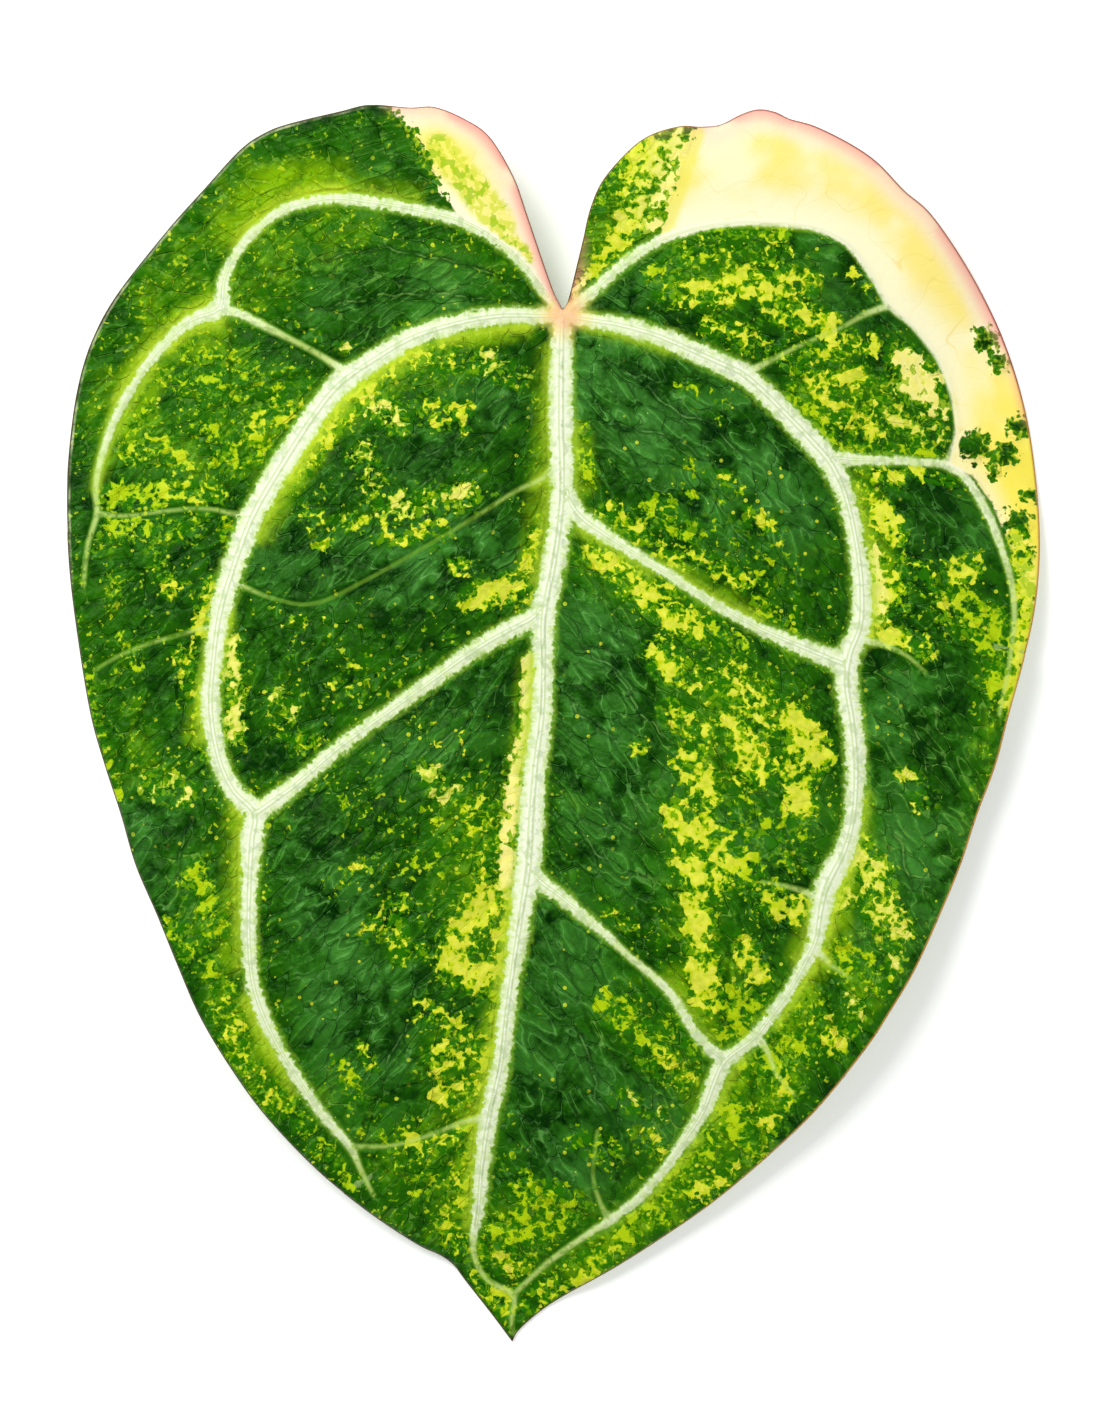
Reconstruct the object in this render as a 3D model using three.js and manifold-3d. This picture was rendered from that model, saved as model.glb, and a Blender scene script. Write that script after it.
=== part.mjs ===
// A cut leaf of a variegated crystal anthurium, lying face up: one heart-shaped blade with its veins
// in relief on both faces, and the short stub of its stalk under the notch, all grown as one piece.
// Millimetres, +Z up, the tip towards -Y, origin on the surface under the middle of the leaf.

import * as THREE from "three";
import { mergeVertices } from "three/addons/utils/BufferGeometryUtils.js";
import Module from "manifold-3d";

// The blade's size and form
const THICKNESS = 0.8;
const CROWN_HEIGHT = 12.5; // how far the middle of the blade stands over the surface
const SHOULDER_DROP = 19; // how far the widest part bends down at its edges
const SIDE_SHARE = 0.46; // the share of that drop further down the sides
const TIP_DROP = 17;
const LOBE_DROP = 3.5;
const NOTCH_LIFT = 2.2; // the lobes lift again towards the notch between them
const CHANNEL_DEPTH = 2.2; // the midrib runs in a shallow channel of this depth
const CHANNEL_HALF_WIDTH = 16;
const QUILT_HEIGHT = 1.7; // each field between the main veins bulges by this much
const QUILT_REACH = 7;
const EDGE_WAVE = 1.3;
const EDGE_WAVES_ROUND = 7;
const EDGE_ROLL = 0.6; // the last millimetre or two rolls down
const EDGE_ROLL_REACH = 1.2;
const SEAT_SOFTNESS = 1.2; // the height over which a low place settles flat on the surface

// The relief of the veins and of the net between them
const KEEL_RISE = 0.18; // height of a vein's keel on the upper face, for each mm of its half width
const GROOVE_DEPTH = 0.15; // the pale bands lie this much lower than the fields beside them
const RIB_DEPTH = 0.62; // depth of a vein's rib below the blade, for each mm of its half width
const RIB_LEAST = 0.25;
const RIB_FLANK = 0.5; // a rib reaches this far past its pale band
const CELL_RISE = 0.45; // the middle of each cell of the net
const CELL_SINK = 0.1; // the corners between the cells

// How finely the blade is divided
const EDGE_STEP = 3.4;
const EDGE_INSET = 1.6;
const VEIN_STEP = 3.8;
const FLANK_GAP = 0.4;
const FLANK_LEAST = 1.3;
const LATTICE = 5; // spacing of the net's middles and corners
const LATTICE_JITTER = 0.35;
const LATTICE_CLEARANCE = 2.5;
const VEIN_CLEARANCE = 1.15;

// The stalk
const STALK_RADIUS = 2.6;
const STALK_SIDES = 14;
const KNUCKLE_RADIUS = 3.1; // the swelling where the stalk meets the blade
const KNUCKLE_SQUASH = 0.8;
const STALK_RUN = 9; // the cut end lies this far towards the tip from the knuckle
const STALK_FALL = 6.2; // and this far below it

// Places on the leaf are x, y from the point where the main veins meet, seen from above.
// The edge runs from the bottom of the notch round the left side to the tip, then back up the right.
const LEFT_EDGE = [
  [-0.5, 1.2], [-2.2, 4.5], [-4.2, 10], [-7.6, 20], [-10.3, 27.5], [-15, 35.3], [-20, 38.9],
  [-26, 41.3], [-31, 41.2], [-39, 41.8], [-45, 40.5], [-55, 38.2], [-60, 36.4], [-65, 33.1],
  [-72.3, 25.4], [-80, 17.1], [-90, 4.8], [-95.3, -5], [-98.2, -15], [-99.8, -27], [-100.1, -36],
  [-99.4, -50], [-97.5, -65], [-95, -80], [-92.2, -90], [-88.9, -100], [-85.9, -110], [-81.5, -120],
  [-77.4, -130], [-73.1, -140], [-67.3, -150], [-60, -160.3], [-50, -171], [-40, -179.3],
  [-30, -186.1], [-25, -188.6], [-22.3, -190.7], [-20, -193.8], [-15, -200.2], [-12, -204.2],
  [-10.6, -206.1],
];
const RIGHT_EDGE = [
  [-10.6, -206.1], [-9.3, -203.8], [-5, -200], [0, -196.7], [10, -191], [20, -184.6], [30, -177.5],
  [40, -169], [50, -159.3], [60, -146.8], [65, -139.2], [70, -130.8], [75, -120], [79.2, -110],
  [82.5, -100], [86.2, -90], [88.8, -80], [91.6, -70], [94, -60], [95.2, -50], [95.3, -40],
  [94.5, -30], [92.9, -20], [90.2, -10], [86.3, 0], [80.7, 10.2], [73.5, 20.3], [68, 25],
  [62.5, 30.6], [57, 34.3], [50, 37.7], [45, 39.1], [42, 40.5], [38.5, 41], [35, 39.9], [31, 37.9],
  [27, 37.5], [23, 37.6], [17, 35.8], [12.5, 32.5], [7.5, 26.7], [5, 21], [3.6, 15], [2.4, 10],
  [1.2, 5], [0.3, 2], [-0.5, 1.2],
];

// Each vein is a line of points x, y, w, where w is half the width of its pale band.
const VEINS = {
  midrib: [
    [-0.5, 0, 1.6], [-0.7, -6, 2.2], [-0.8, -20, 2.6], [-0.6, -32, 2.4], [-0.9, -40, 2.4],
    [-2.3, -50, 2.5], [-4.2, -60, 2.5], [-4.3, -70, 2.1], [-4.6, -80, 2.2], [-5.9, -90, 2.4],
    [-6.7, -100, 2.6], [-7.3, -110, 2.7], [-8.8, -120, 2.3], [-10.3, -130, 1.9], [-11.7, -140, 1.9],
    [-12.9, -150, 1.9], [-15.2, -160.5, 2], [-16.6, -170, 1.7], [-17.5, -180, 1.4],
    [-18.4, -185, 0.7], [-18, -189.5, 0.5], [-15.5, -193.7, 0.45], [-10.4, -196.7, 0.5],
    [-10.7, -201, 0.4], [-10.6, -204.5, 0.3],
  ],
  leftArch: [
    [-0.8, -0.3, 1.4], [-5, -0.4, 1.7], [-12, -0.4, 1.9], [-20, -1.6, 2], [-30, -4.6, 2.1],
    [-38, -9.1, 2.2], [-45, -14, 2.4], [-50, -20, 2.5], [-56.5, -30, 2.5], [-62.3, -40, 2.5],
    [-66.1, -50, 2.4], [-69, -60, 2.2], [-70.3, -70, 1.9], [-70.8, -79, 2.1], [-69.2, -88.5, 1.9],
    [-66.3, -95, 2], [-62, -99.6, 2.3], [-62.5, -105, 2.3], [-63, -114, 1.9], [-63.1, -125, 1.6],
    [-62, -135, 1.6], [-58, -145, 1.4], [-52, -155, 1.3], [-48.6, -160, 1.1], [-43.2, -166.2, 0.8],
    [-41, -171, 0.5], [-38.3, -176.3, 0.3],
  ],
  leftLateral: [
    [-4.3, -57, 1.5], [-6, -60.2, 2], [-10, -62.5, 2], [-15, -65.2, 1.9], [-20, -68.4, 1.8],
    [-25, -72, 1.6], [-35, -79.2, 1.5], [-45, -86.4, 1.6], [-53, -93.3, 1.7], [-58, -97, 2.1],
    [-62, -99.8, 2.2],
  ],
  leftLobe: [
    [-0.8, 0.3, 1.2], [-4, 4.5, 1.2], [-8, 9.6, 1.2], [-12.5, 13.8, 1.2], [-20, 18.3, 1.3],
    [-30, 20.9, 1.3], [-40, 22.6, 1.3], [-47, 23.2, 1.2], [-55, 21.6, 1.1], [-60, 18.7, 1],
    [-65, 13.8, 1], [-68.2, 7.5, 1.3], [-69.3, 1.5, 1.9], [-75, -0.8, 1.4], [-80, -5, 1.2],
    [-85, -11, 1.1], [-90, -19.5, 1], [-93.4, -29, 0.7], [-94.3, -35, 0.5], [-93.9, -39.5, 0.5],
    [-95.3, -44.5, 0.4], [-96.1, -50, 0.35], [-96.3, -54, 0.3],
  ],
  leftLink: [
    [-69.3, 1.5, 1.2], [-65, 0.3, 0.9], [-60, -2.2, 0.7], [-55, -4.8, 0.5], [-50, -7.5, 0.45],
    [-46, -10, 0.7], [-43, -12, 1],
  ],
  leftCross: [
    [-93.9, -39.5, 0.4], [-88, -40.1, 0.3], [-80, -39.2, 0.25], [-72, -38.7, 0.25],
    [-66, -39.8, 0.4], [-62.3, -39.7, 0.8],
  ],
  leftFine: [
    [-2, -30, 0.6], [-4.5, -32.8, 0.5], [-10, -35.5, 0.35], [-17, -40, 0.3], [-27, -46, 0.2],
    [-40, -53.3, 0.2], [-50, -57.8, 0.2], [-58, -56.8, 0.2], [-65, -54, 0.4],
  ],
  leftOuter: [
    [-69.5, -61.8, 0.5], [-75, -63.4, 0.3], [-84, -66, 0.25], [-90, -68.6, 0.2], [-94, -71, 0.2],
  ],
  leftLower: [
    [-15.2, -160.5, 0.9], [-20, -161.4, 0.5], [-27, -164, 0.35], [-35, -166.2, 0.3],
    [-43, -166.4, 0.4],
  ],
  rightArch: [
    [-0.3, -0.3, 1.2], [5, -1.2, 1.6], [10, -2, 1.8], [15, -3.3, 1.9], [20, -5, 2], [30, -9.4, 2.2],
    [35.5, -12, 2.3], [40, -15.8, 2.2], [45, -20.8, 2.2], [50, -26, 2.4], [53.3, -30, 2.4],
    [56, -36, 2], [58.1, -45, 1.9], [59.2, -54, 2.1], [59, -62, 2.2], [56.8, -68, 2.4],
    [56.2, -74, 2.4], [57.4, -82, 2.3], [58.1, -91, 2.2], [57.6, -100, 2], [55.8, -107, 2.2],
    [52.3, -114, 2.6], [51, -119, 2.2], [50, -125, 1.7], [47.6, -130, 1.5], [44.8, -135, 1.3],
    [41.2, -140, 1.4], [37.5, -144.7, 1.5], [32, -149, 1.7], [29.8, -153.5, 1.9],
    [27.5, -159.5, 1.7], [24, -165, 1.3], [20, -170.8, 1.1], [15, -176.6, 1.1], [9.5, -181, 0.9],
    [3, -185.2, 0.6], [-4, -190.5, 0.5], [-10.4, -196.7, 0.4],
  ],
  rightLobe: [
    [-0.2, 0.4, 1.2], [3.5, 2.8, 1.2], [7.5, 6.4, 1.3], [12.5, 10.7, 1.2], [20, 15.2, 1.1],
    [30, 17.9, 0.9], [40, 18.4, 0.8], [50, 17.4, 0.8], [57, 13.9, 0.8], [62, 7, 0.7], [65, 2.1, 0.7],
    [70, -2.2, 0.6], [75, -8.6, 0.6], [77.8, -16, 0.5], [78.6, -23.5, 0.45], [76.5, -29.6, 0.6],
  ],
  rightUpper: [
    [53, -28.4, 1.6], [58, -28.9, 1.3], [65, -29, 1], [72, -29.3, 0.8], [76.5, -29.8, 0.9],
    [80.5, -32.6, 0.9], [84, -38, 0.9], [87, -45, 0.8], [89.4, -53, 0.6], [90, -61, 0.5],
    [88.6, -71, 0.35], [86.8, -80, 0.3],
  ],
  rightLink: [
    [35.5, -12, 1], [40, -9.8, 0.5], [47, -6.2, 0.3], [55, -2.7, 0.3], [60, 0.2, 0.5],
    [65, 2.1, 0.7],
  ],
  rightLateral: [
    [-0.3, -31, 1.2], [0.8, -37, 1.8], [3.5, -40.8, 1.9], [8, -44, 1.5], [13, -47.3, 1.2],
    [20, -51.6, 1.1], [30, -58, 1.1], [40, -63.3, 1.4], [48, -66.7, 1.8], [56, -70, 2.2],
  ],
  rightLower: [
    [-7.4, -109, 1.2], [-5.5, -112.6, 1.8], [0, -116.9, 1.4], [7.5, -123.2, 1], [12, -127.4, 0.7],
    [20, -134.3, 0.9], [23.5, -139.3, 1], [27, -144.7, 1.1], [32, -149.2, 1.6],
  ],
  rightSpur: [[51.3, -117, 0.9], [47.5, -115.2, 0.5], [43, -113.9, 0.3], [39, -113.2, 0.2]],
  rightFork: [[38.5, -144.2, 0.9], [40.6, -147.5, 0.5], [42.4, -152, 0.35], [46, -156, 0.2]],
  rightOuter: [[59, -65, 1], [63, -65.8, 0.5], [68, -68, 0.3], [72, -71.5, 0.2]],
  rightTwig: [[50, -126.5, 0.9], [53, -129.8, 0.4], [57, -132.5, 0.2]],
  rightTail: [[8.7, -181, 0.6], [7.2, -178, 0.35], [5.6, -172, 0.2], [6.5, -163, 0.2]],
};

// Points about `step` apart along a smooth curve through the given ones, with any third value carried along.
function trace(points, step) {
  const curve = new THREE.CatmullRomCurve3(
    points.map(([x, y, w = 0]) => new THREE.Vector3(x, y, w)),
    false,
    "catmullrom",
    0.5,
  );
  return curve.getSpacedPoints(Math.max(2, Math.round(curve.getLength() / step)));
}

// The nearest place on a traced line: how far it is, and the third value there.
function nearest(line, x, y) {
  let best = { distance: Infinity, width: 0 };
  for (let i = 0; i + 1 < line.length; i++) {
    const a = line[i];
    const dx = line[i + 1].x - a.x;
    const dy = line[i + 1].y - a.y;
    const along = ((x - a.x) * dx + (y - a.y) * dy) / (dx * dx + dy * dy);
    const t = THREE.MathUtils.clamp(along, 0, 1);
    const distance = Math.hypot(x - a.x - t * dx, y - a.y - t * dy);
    if (distance < best.distance) best = { distance, width: a.z + t * (line[i + 1].z - a.z) };
  }
  return best;
}

const MEASURE_STEP = 1; // the lines that distances are measured to are this fine
const edgeLine = [...trace(LEFT_EDGE, MEASURE_STEP), ...trace(RIGHT_EDGE, MEASURE_STEP)];
const veinLines = Object.values(VEINS).map((points) => trace(points, MEASURE_STEP));
const midribLine = veinLines[0];
const box = new THREE.Box2().setFromPoints(edgeLine);
const centre = box.getCenter(new THREE.Vector2());
const half = box.getSize(new THREE.Vector2()).multiplyScalar(0.5);

// How far x lies from the midrib at height y on the leaf.
function fromMidrib(x, y) {
  const next = midribLine.findIndex((p) => p.y < y);
  if (next === 0) return x - midribLine[0].x;
  return x - midribLine[next < 0 ? midribLine.length - 1 : next].x;
}

// Everything about a place that depends on the veins: the ribs and keels there, and the distance to the bands.
function veinsAt(x, y) {
  let rib = 0;
  let keel = 0;
  let toMainBand = Infinity;
  let toBand = Infinity;
  for (const line of veinLines) {
    const { distance, width } = nearest(line, x, y);
    const reach = width + RIB_FLANK;
    const share = Math.max(0, 1 - (distance / reach) ** 2);
    rib = Math.max(rib, share * (RIB_LEAST + RIB_DEPTH * width));
    keel = Math.max(keel, Math.max(0, 1 - distance / reach) * KEEL_RISE * width);
    toBand = Math.min(toBand, distance - width);
    if (width > FLANK_GAP) toMainBand = Math.min(toMainBand, distance - width);
  }
  return { rib, keel, toMainBand: Math.max(0, toMainBand), toBand };
}

const bump = (value, spread) => Math.exp(-((value / spread) ** 2));
const rise = (value, from, to) => THREE.MathUtils.smoothstep(value, from, to);

// The height of the blade's middle layer, before the low places settle on the surface.
function sheetHeight(x, y, toMainBand, toEdge) {
  const across = (x - centre.x) / half.x;
  const along = (y - centre.y) / half.y; // -1 at the tip, 1 at the top of the lobes
  const shoulders = SIDE_SHARE + (1 - SIDE_SHARE) * bump(along - 0.62, 0.3);
  const turn = Math.atan2(y - centre.y, x - centre.x);
  return (
    CROWN_HEIGHT -
    SHOULDER_DROP * across ** 2 * shoulders -
    TIP_DROP * (Math.max(0, -along - 0.25) / 0.75) ** 2 -
    LOBE_DROP * rise(along, 0.5, 1) ** 2 +
    NOTCH_LIFT * bump(x, 22) * rise(y, 4, 38) +
    CHANNEL_DEPTH * (1 - bump(fromMidrib(x, Math.min(0, y)), CHANNEL_HALF_WIDTH)) +
    QUILT_HEIGHT * (1 - bump(toMainBand, QUILT_REACH)) +
    EDGE_WAVE * Math.sin(EDGE_WAVES_ROUND * turn + 0.6) * Math.exp(-toEdge / 18) -
    EDGE_ROLL * Math.exp(-toEdge / EDGE_ROLL_REACH)
  );
}

// How much a place whose underside would be at z is lifted, so that it lies flat on the surface at 0.
function lift(z) {
  if (z <= -SEAT_SOFTNESS) return -z;
  if (z >= SEAT_SOFTNESS) return 0;
  return (z + SEAT_SOFTNESS) ** 2 / (4 * SEAT_SOFTNESS) - z;
}

// The heights of the upper and lower face at a place. `cell` is the net's own relief there.
function faces(x, y, cell = 0) {
  const { rib, keel, toMainBand, toBand } = veinsAt(x, y);
  const toEdge = nearest(edgeLine, x, y).distance;
  const sheet = sheetHeight(x, y, toMainBand, toEdge);
  const under = sheet - THICKNESS / 2 - rib;
  const settled = lift(under);
  const field = rise(toBand, 0, 1.5) * rise(toEdge, 0, 2);
  const relief = keel - GROOVE_DEPTH * (1 - field) + cell * field;
  return { top: sheet + THICKNESS / 2 + relief + settled, bottom: under + settled };
}

// A small repeatable random number for place i, j, from -1 to 1.
function jitter(i, j, salt) {
  const s = Math.sin(i * 127.1 + j * 311.7 + salt * 74.7) * 43758.5453;
  return 2 * (s - Math.floor(s)) - 1;
}

// The places that the blade is divided at: its edge, a row inside it, the veins with a row on each
// side, and between them a net of six-sided cells, with a raised middle and sunk corners.
function dividingPoints() {
  const points = [];
  const clearOf = (x, y, gap) => points.every((p) => (p.x - x) ** 2 + (p.y - y) ** 2 > gap * gap);
  const add = (x, y, gap, cell = 0) => clearOf(x, y, gap) && points.push({ x, y, cell });
  const ring = [...trace(LEFT_EDGE, EDGE_STEP), ...trace(RIGHT_EDGE, EDGE_STEP)];
  ring.forEach(({ x, y }) => add(x, y, 0.6));
  const outline = points.map(({ x, y }) => new THREE.Vector2(x, y));
  const inside = (x, y) => contains(outline, x, y);
  const addInside = (x, y, fromEdge, gap, cell) => {
    if (inside(x, y) && nearest(edgeLine, x, y).distance > fromEdge) add(x, y, gap, cell);
  };
  const beside = (line, offset, visit) =>
    line.forEach((p, i) => {
      const a = line[Math.max(0, i - 1)];
      const b = line[Math.min(line.length - 1, i + 1)];
      const length = Math.hypot(b.x - a.x, b.y - a.y);
      const away = typeof offset === "number" ? offset : offset(p.z);
      visit(p.x - (away * (b.y - a.y)) / length, p.y + (away * (b.x - a.x)) / length);
    });
  const flank = (width) => Math.max(FLANK_LEAST, width + FLANK_GAP);
  for (const points of Object.values(VEINS))
    trace(points, VEIN_STEP).forEach(({ x, y }) => addInside(x, y, 0.8, VEIN_CLEARANCE));
  beside(ring, EDGE_INSET, (x, y) => addInside(x, y, EDGE_INSET * 0.8, VEIN_CLEARANCE));
  for (const points of Object.values(VEINS))
    for (const side of [1, -1])
      beside(trace(points, VEIN_STEP), (width) => side * flank(width), (x, y) =>
        addInside(x, y, EDGE_INSET, VEIN_CLEARANCE),
      );
  const rows = Math.ceil(half.y / LATTICE);
  const columns = Math.ceil((half.x + half.y) / LATTICE);
  for (let j = -2 * rows; j <= 2 * rows; j++)
    for (let i = -columns; i <= columns; i++) {
      const x = centre.x + LATTICE * (i + j / 2 + LATTICE_JITTER * 0.5 * jitter(i, j, 1));
      const y = centre.y + LATTICE * ((j * Math.sqrt(3)) / 2 + LATTICE_JITTER * 0.5 * jitter(i, j, 2));
      const middle = (((i - j) % 3) + 3) % 3 === 0;
      addInside(x, y, EDGE_INSET * 1.5, LATTICE_CLEARANCE, middle ? CELL_RISE : -CELL_SINK);
    }
  return { points, inside };
}

// Whether a point lies inside a closed outline.
function contains(outline, x, y) {
  let odd = false;
  for (let i = 0, j = outline.length - 1; i < outline.length; j = i++) {
    const a = outline[i];
    const b = outline[j];
    if (a.y > y !== b.y > y && x < ((b.x - a.x) * (y - a.y)) / (b.y - a.y) + a.x) odd = !odd;
  }
  return odd;
}

// The triangle a, b, c turned anticlockwise, with the circle through its corners.
function withCircle(points, a, b, c) {
  const [p, q, r] = [points[a], points[b], points[c]];
  const d = (q.x - p.x) * (r.y - p.y) - (q.y - p.y) * (r.x - p.x);
  const q2 = (q.x - p.x) ** 2 + (q.y - p.y) ** 2;
  const r2 = (r.x - p.x) ** 2 + (r.y - p.y) ** 2;
  const ux = ((r.y - p.y) * q2 - (q.y - p.y) * r2) / (2 * d);
  const uy = ((q.x - p.x) * r2 - (r.x - p.x) * q2) / (2 * d);
  const corners = d > 0 ? [a, b, c] : [a, c, b];
  return { corners, x: p.x + ux, y: p.y + uy, r2: ux * ux + uy * uy };
}

// Divides the plane into well-shaped triangles on the given points, one point at a time.
function triangulate(points) {
  const n = points.length;
  const far = 1e4;
  const all = [...points, { x: -far, y: -far }, { x: far, y: -far }, { x: 0, y: far }];
  let triangles = [withCircle(all, n, n + 1, n + 2)];
  for (let i = 0; i < n; i++) {
    const { x, y } = all[i];
    const rim = new Map();
    triangles = triangles.filter((t) => {
      if ((x - t.x) ** 2 + (y - t.y) ** 2 > t.r2) return true;
      t.corners.forEach((a, k) => {
        const b = t.corners[(k + 1) % 3];
        const key = Math.min(a, b) * all.length + Math.max(a, b);
        if (!rim.delete(key)) rim.set(key, [a, b]);
      });
      return false;
    });
    for (const [a, b] of rim.values()) triangles.push(withCircle(all, a, b, i));
  }
  return triangles.map((t) => t.corners).filter((t) => t.every((corner) => corner < n));
}

// The blade as one closed surface: the same triangles above and below, joined round the edge.
function bladeGeometry() {
  const { points, inside } = dividingPoints();
  const n = points.length;
  const positions = new Float32Array(n * 6);
  points.forEach(({ x, y, cell }, i) => {
    const { top, bottom } = faces(x, y, cell);
    positions.set([x, y, top], i * 3);
    positions.set([x, y, bottom], (n + i) * 3);
  });
  const kept = triangulate(points).filter((t) => {
    const middle = (key) => (points[t[0]][key] + points[t[1]][key] + points[t[2]][key]) / 3;
    return inside(middle("x"), middle("y"));
  });
  const index = [];
  const rim = new Map();
  for (const [a, b, c] of kept) {
    index.push(a, b, c, n + a, n + c, n + b);
    for (const [p, q] of [[a, b], [b, c], [c, a]])
      if (!rim.delete(q * n + p)) rim.set(p * n + q, [p, q]);
  }
  for (const [a, b] of rim.values()) index.push(a, n + a, n + b, a, n + b, b);
  const geometry = new THREE.BufferGeometry();
  geometry.setAttribute("position", new THREE.BufferAttribute(positions, 3));
  geometry.setIndex(index);
  return geometry;
}

// The swelling at the top of the stalk, and the stalk itself, bending back under the midrib to its cut end.
function stalkGeometries() {
  const jointX = -0.6;
  const jointY = -2.6;
  const jointZ = faces(jointX, jointY).top - KNUCKLE_RADIUS * KNUCKLE_SQUASH + 0.35;
  const knuckle = new THREE.SphereGeometry(KNUCKLE_RADIUS, STALK_SIDES, 10);
  knuckle.scale(1, 1, KNUCKLE_SQUASH);
  knuckle.translate(jointX, jointY, jointZ);
  const bend = new THREE.QuadraticBezierCurve3(
    new THREE.Vector3(jointX, jointY, jointZ - 0.4),
    new THREE.Vector3(jointX, jointY - STALK_RUN * 0.35, jointZ - STALK_FALL * 0.7),
    new THREE.Vector3(jointX - 0.4, jointY - STALK_RUN, jointZ - STALK_FALL),
  );
  const section = new THREE.Shape();
  section.absarc(0, 0, STALK_RADIUS, 0, 2 * Math.PI);
  const stalk = new THREE.ExtrudeGeometry(section, {
    steps: 8,
    curveSegments: STALK_SIDES,
    bevelEnabled: false,
    extrudePath: bend,
  });
  return [knuckle, stalk];
}

const wasm = await Module();
wasm.setup();

// A closed three.js geometry as a solid that can be joined.
function solid(geometry) {
  const bare = new THREE.BufferGeometry();
  bare.setAttribute("position", geometry.getAttribute("position"));
  bare.setIndex(geometry.getIndex());
  const merged = mergeVertices(bare, 1e-3);
  return new wasm.Manifold(
    new wasm.Mesh({
      numProp: 3,
      vertProperties: merged.getAttribute("position").array,
      triVerts: new Uint32Array(merged.getIndex().array),
    }),
  );
}

function leafGeometry() {
  const whole = stalkGeometries().reduce(
    (joined, geometry) => joined.add(solid(geometry)),
    solid(bladeGeometry()),
  );
  const { vertProperties, triVerts } = whole.getMesh();
  const geometry = new THREE.BufferGeometry();
  geometry.setAttribute("position", new THREE.BufferAttribute(vertProperties, 3));
  geometry.setIndex(new THREE.BufferAttribute(triVerts, 1));
  geometry.translate(-centre.x, -centre.y, 0);
  return geometry;
}

const leaf = new THREE.Mesh(
  leafGeometry(),
  new THREE.MeshStandardMaterial({ color: 0x2f7a22, roughness: 0.45, metalness: 0 }),
);
leaf.name = "leaf";

const part = new THREE.Group();
part.add(leaf);
export default part;
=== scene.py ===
"""The looks of a cut leaf of a variegated crystal anthurium, lying face up on a pale floor.

A finely divided leaf stands for the CAD solid: the same outline, arch and veins, with the net of small
veins in relief and the variegation in its material. The stub of the stalk is a piece of its own.

Places on the leaf are millimetres from the point where the main veins meet, +X to the right and +Y away
from the tip, as in the part's source. The meshes are written in the row frame, in metres.
"""

import math

import bpy
import numpy as np
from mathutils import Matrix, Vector
from mathutils.geometry import delaunay_2d_cdt


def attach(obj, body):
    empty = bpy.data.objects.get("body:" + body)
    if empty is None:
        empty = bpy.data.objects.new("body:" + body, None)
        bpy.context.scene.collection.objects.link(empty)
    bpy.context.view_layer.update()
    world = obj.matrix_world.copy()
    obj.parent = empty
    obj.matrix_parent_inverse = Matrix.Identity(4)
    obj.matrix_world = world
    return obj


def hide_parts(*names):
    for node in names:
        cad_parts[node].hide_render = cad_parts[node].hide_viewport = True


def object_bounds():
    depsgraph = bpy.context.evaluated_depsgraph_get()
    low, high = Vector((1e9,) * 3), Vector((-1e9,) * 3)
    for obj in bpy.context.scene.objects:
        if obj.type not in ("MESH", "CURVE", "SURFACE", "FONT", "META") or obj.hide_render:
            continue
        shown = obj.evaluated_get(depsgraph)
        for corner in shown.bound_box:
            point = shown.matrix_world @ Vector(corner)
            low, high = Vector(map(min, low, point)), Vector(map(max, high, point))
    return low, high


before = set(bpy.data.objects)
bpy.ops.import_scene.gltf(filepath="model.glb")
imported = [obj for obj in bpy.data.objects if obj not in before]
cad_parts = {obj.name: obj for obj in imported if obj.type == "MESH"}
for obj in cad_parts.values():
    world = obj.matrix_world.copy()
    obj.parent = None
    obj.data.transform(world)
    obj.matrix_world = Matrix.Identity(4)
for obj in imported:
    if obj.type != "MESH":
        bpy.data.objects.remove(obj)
cad_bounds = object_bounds()

MM = 0.001

# The blade's size and form, as in the part's source
THICKNESS = 0.8
CROWN_HEIGHT = 12.5
SHOULDER_DROP = 19
SHOULDER_PLACE = 0.62  # this, its spread, TIP_START and LOBE_START are shares of the blade's half length
SHOULDER_SPREAD = 0.3
SIDE_SHARE = 0.46
TIP_DROP = 17
TIP_START = 0.25
LOBE_DROP = 3.5
LOBE_START = 0.5
NOTCH_LIFT = 2.2
NOTCH_SPREAD = 22
NOTCH_RISE = (4, 38)
CHANNEL_DEPTH = 2.2
CHANNEL_HALF_WIDTH = 16
QUILT_HEIGHT = 1.7
QUILT_REACH = 7
EDGE_WAVE = 1.3
EDGE_WAVES_ROUND = 7
EDGE_WAVE_TURN = 0.6
EDGE_WAVE_REACH = 18
EDGE_ROLL = 0.6
EDGE_ROLL_REACH = 1.2
SEAT_SOFTNESS = 1.2
KEEL_RISE = 0.18
GROOVE_DEPTH = 0.15
RIB_DEPTH = 0.62
RIB_LEAST = 0.25
RIB_FLANK = 0.5
FLANK_GAP = 0.4

# The finer relief, which only this script adds
GRAIN_SLOPE = 0.85  # how steeply the small veins run towards the tip
TIP_GRAIN_SLOPE = 0.8  # what is added to that near the tip
TIP_GRAIN = (95, 180)  # how far below the joint that starts, and is whole
OTHER_SIDE = 400  # how far apart the patterns of the two halves are taken, so that they differ
EDGE_ROUNDING = 0.4  # the blade's edge is rounded over this width
NOISE_CELLS = 97  # the noise repeats after this many cells
NET_MARGIN = 5  # a net has this many cells more on each side than the leaf needs
NET_SPREAD = (0.06, 0.94)  # where a cell's seed may lie in its square
COARSE_CELL = (13, 6)  # length and width of the cells between the small side veins
COARSE_RISE = 0.42
COARSE_EDGE = (0, 3)  # a cell rises between these distances from its border
FINE_CELL = (6.2, 2.7)  # length and width of the cells of the finest net
FINE_RISE = 0.22
FINE_EDGE = (-0.2, 0.9)
CELL_LEVEL = 0.3  # the share of a cell's rise that is level with the blade
MAIN_SINK = 0.26
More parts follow.
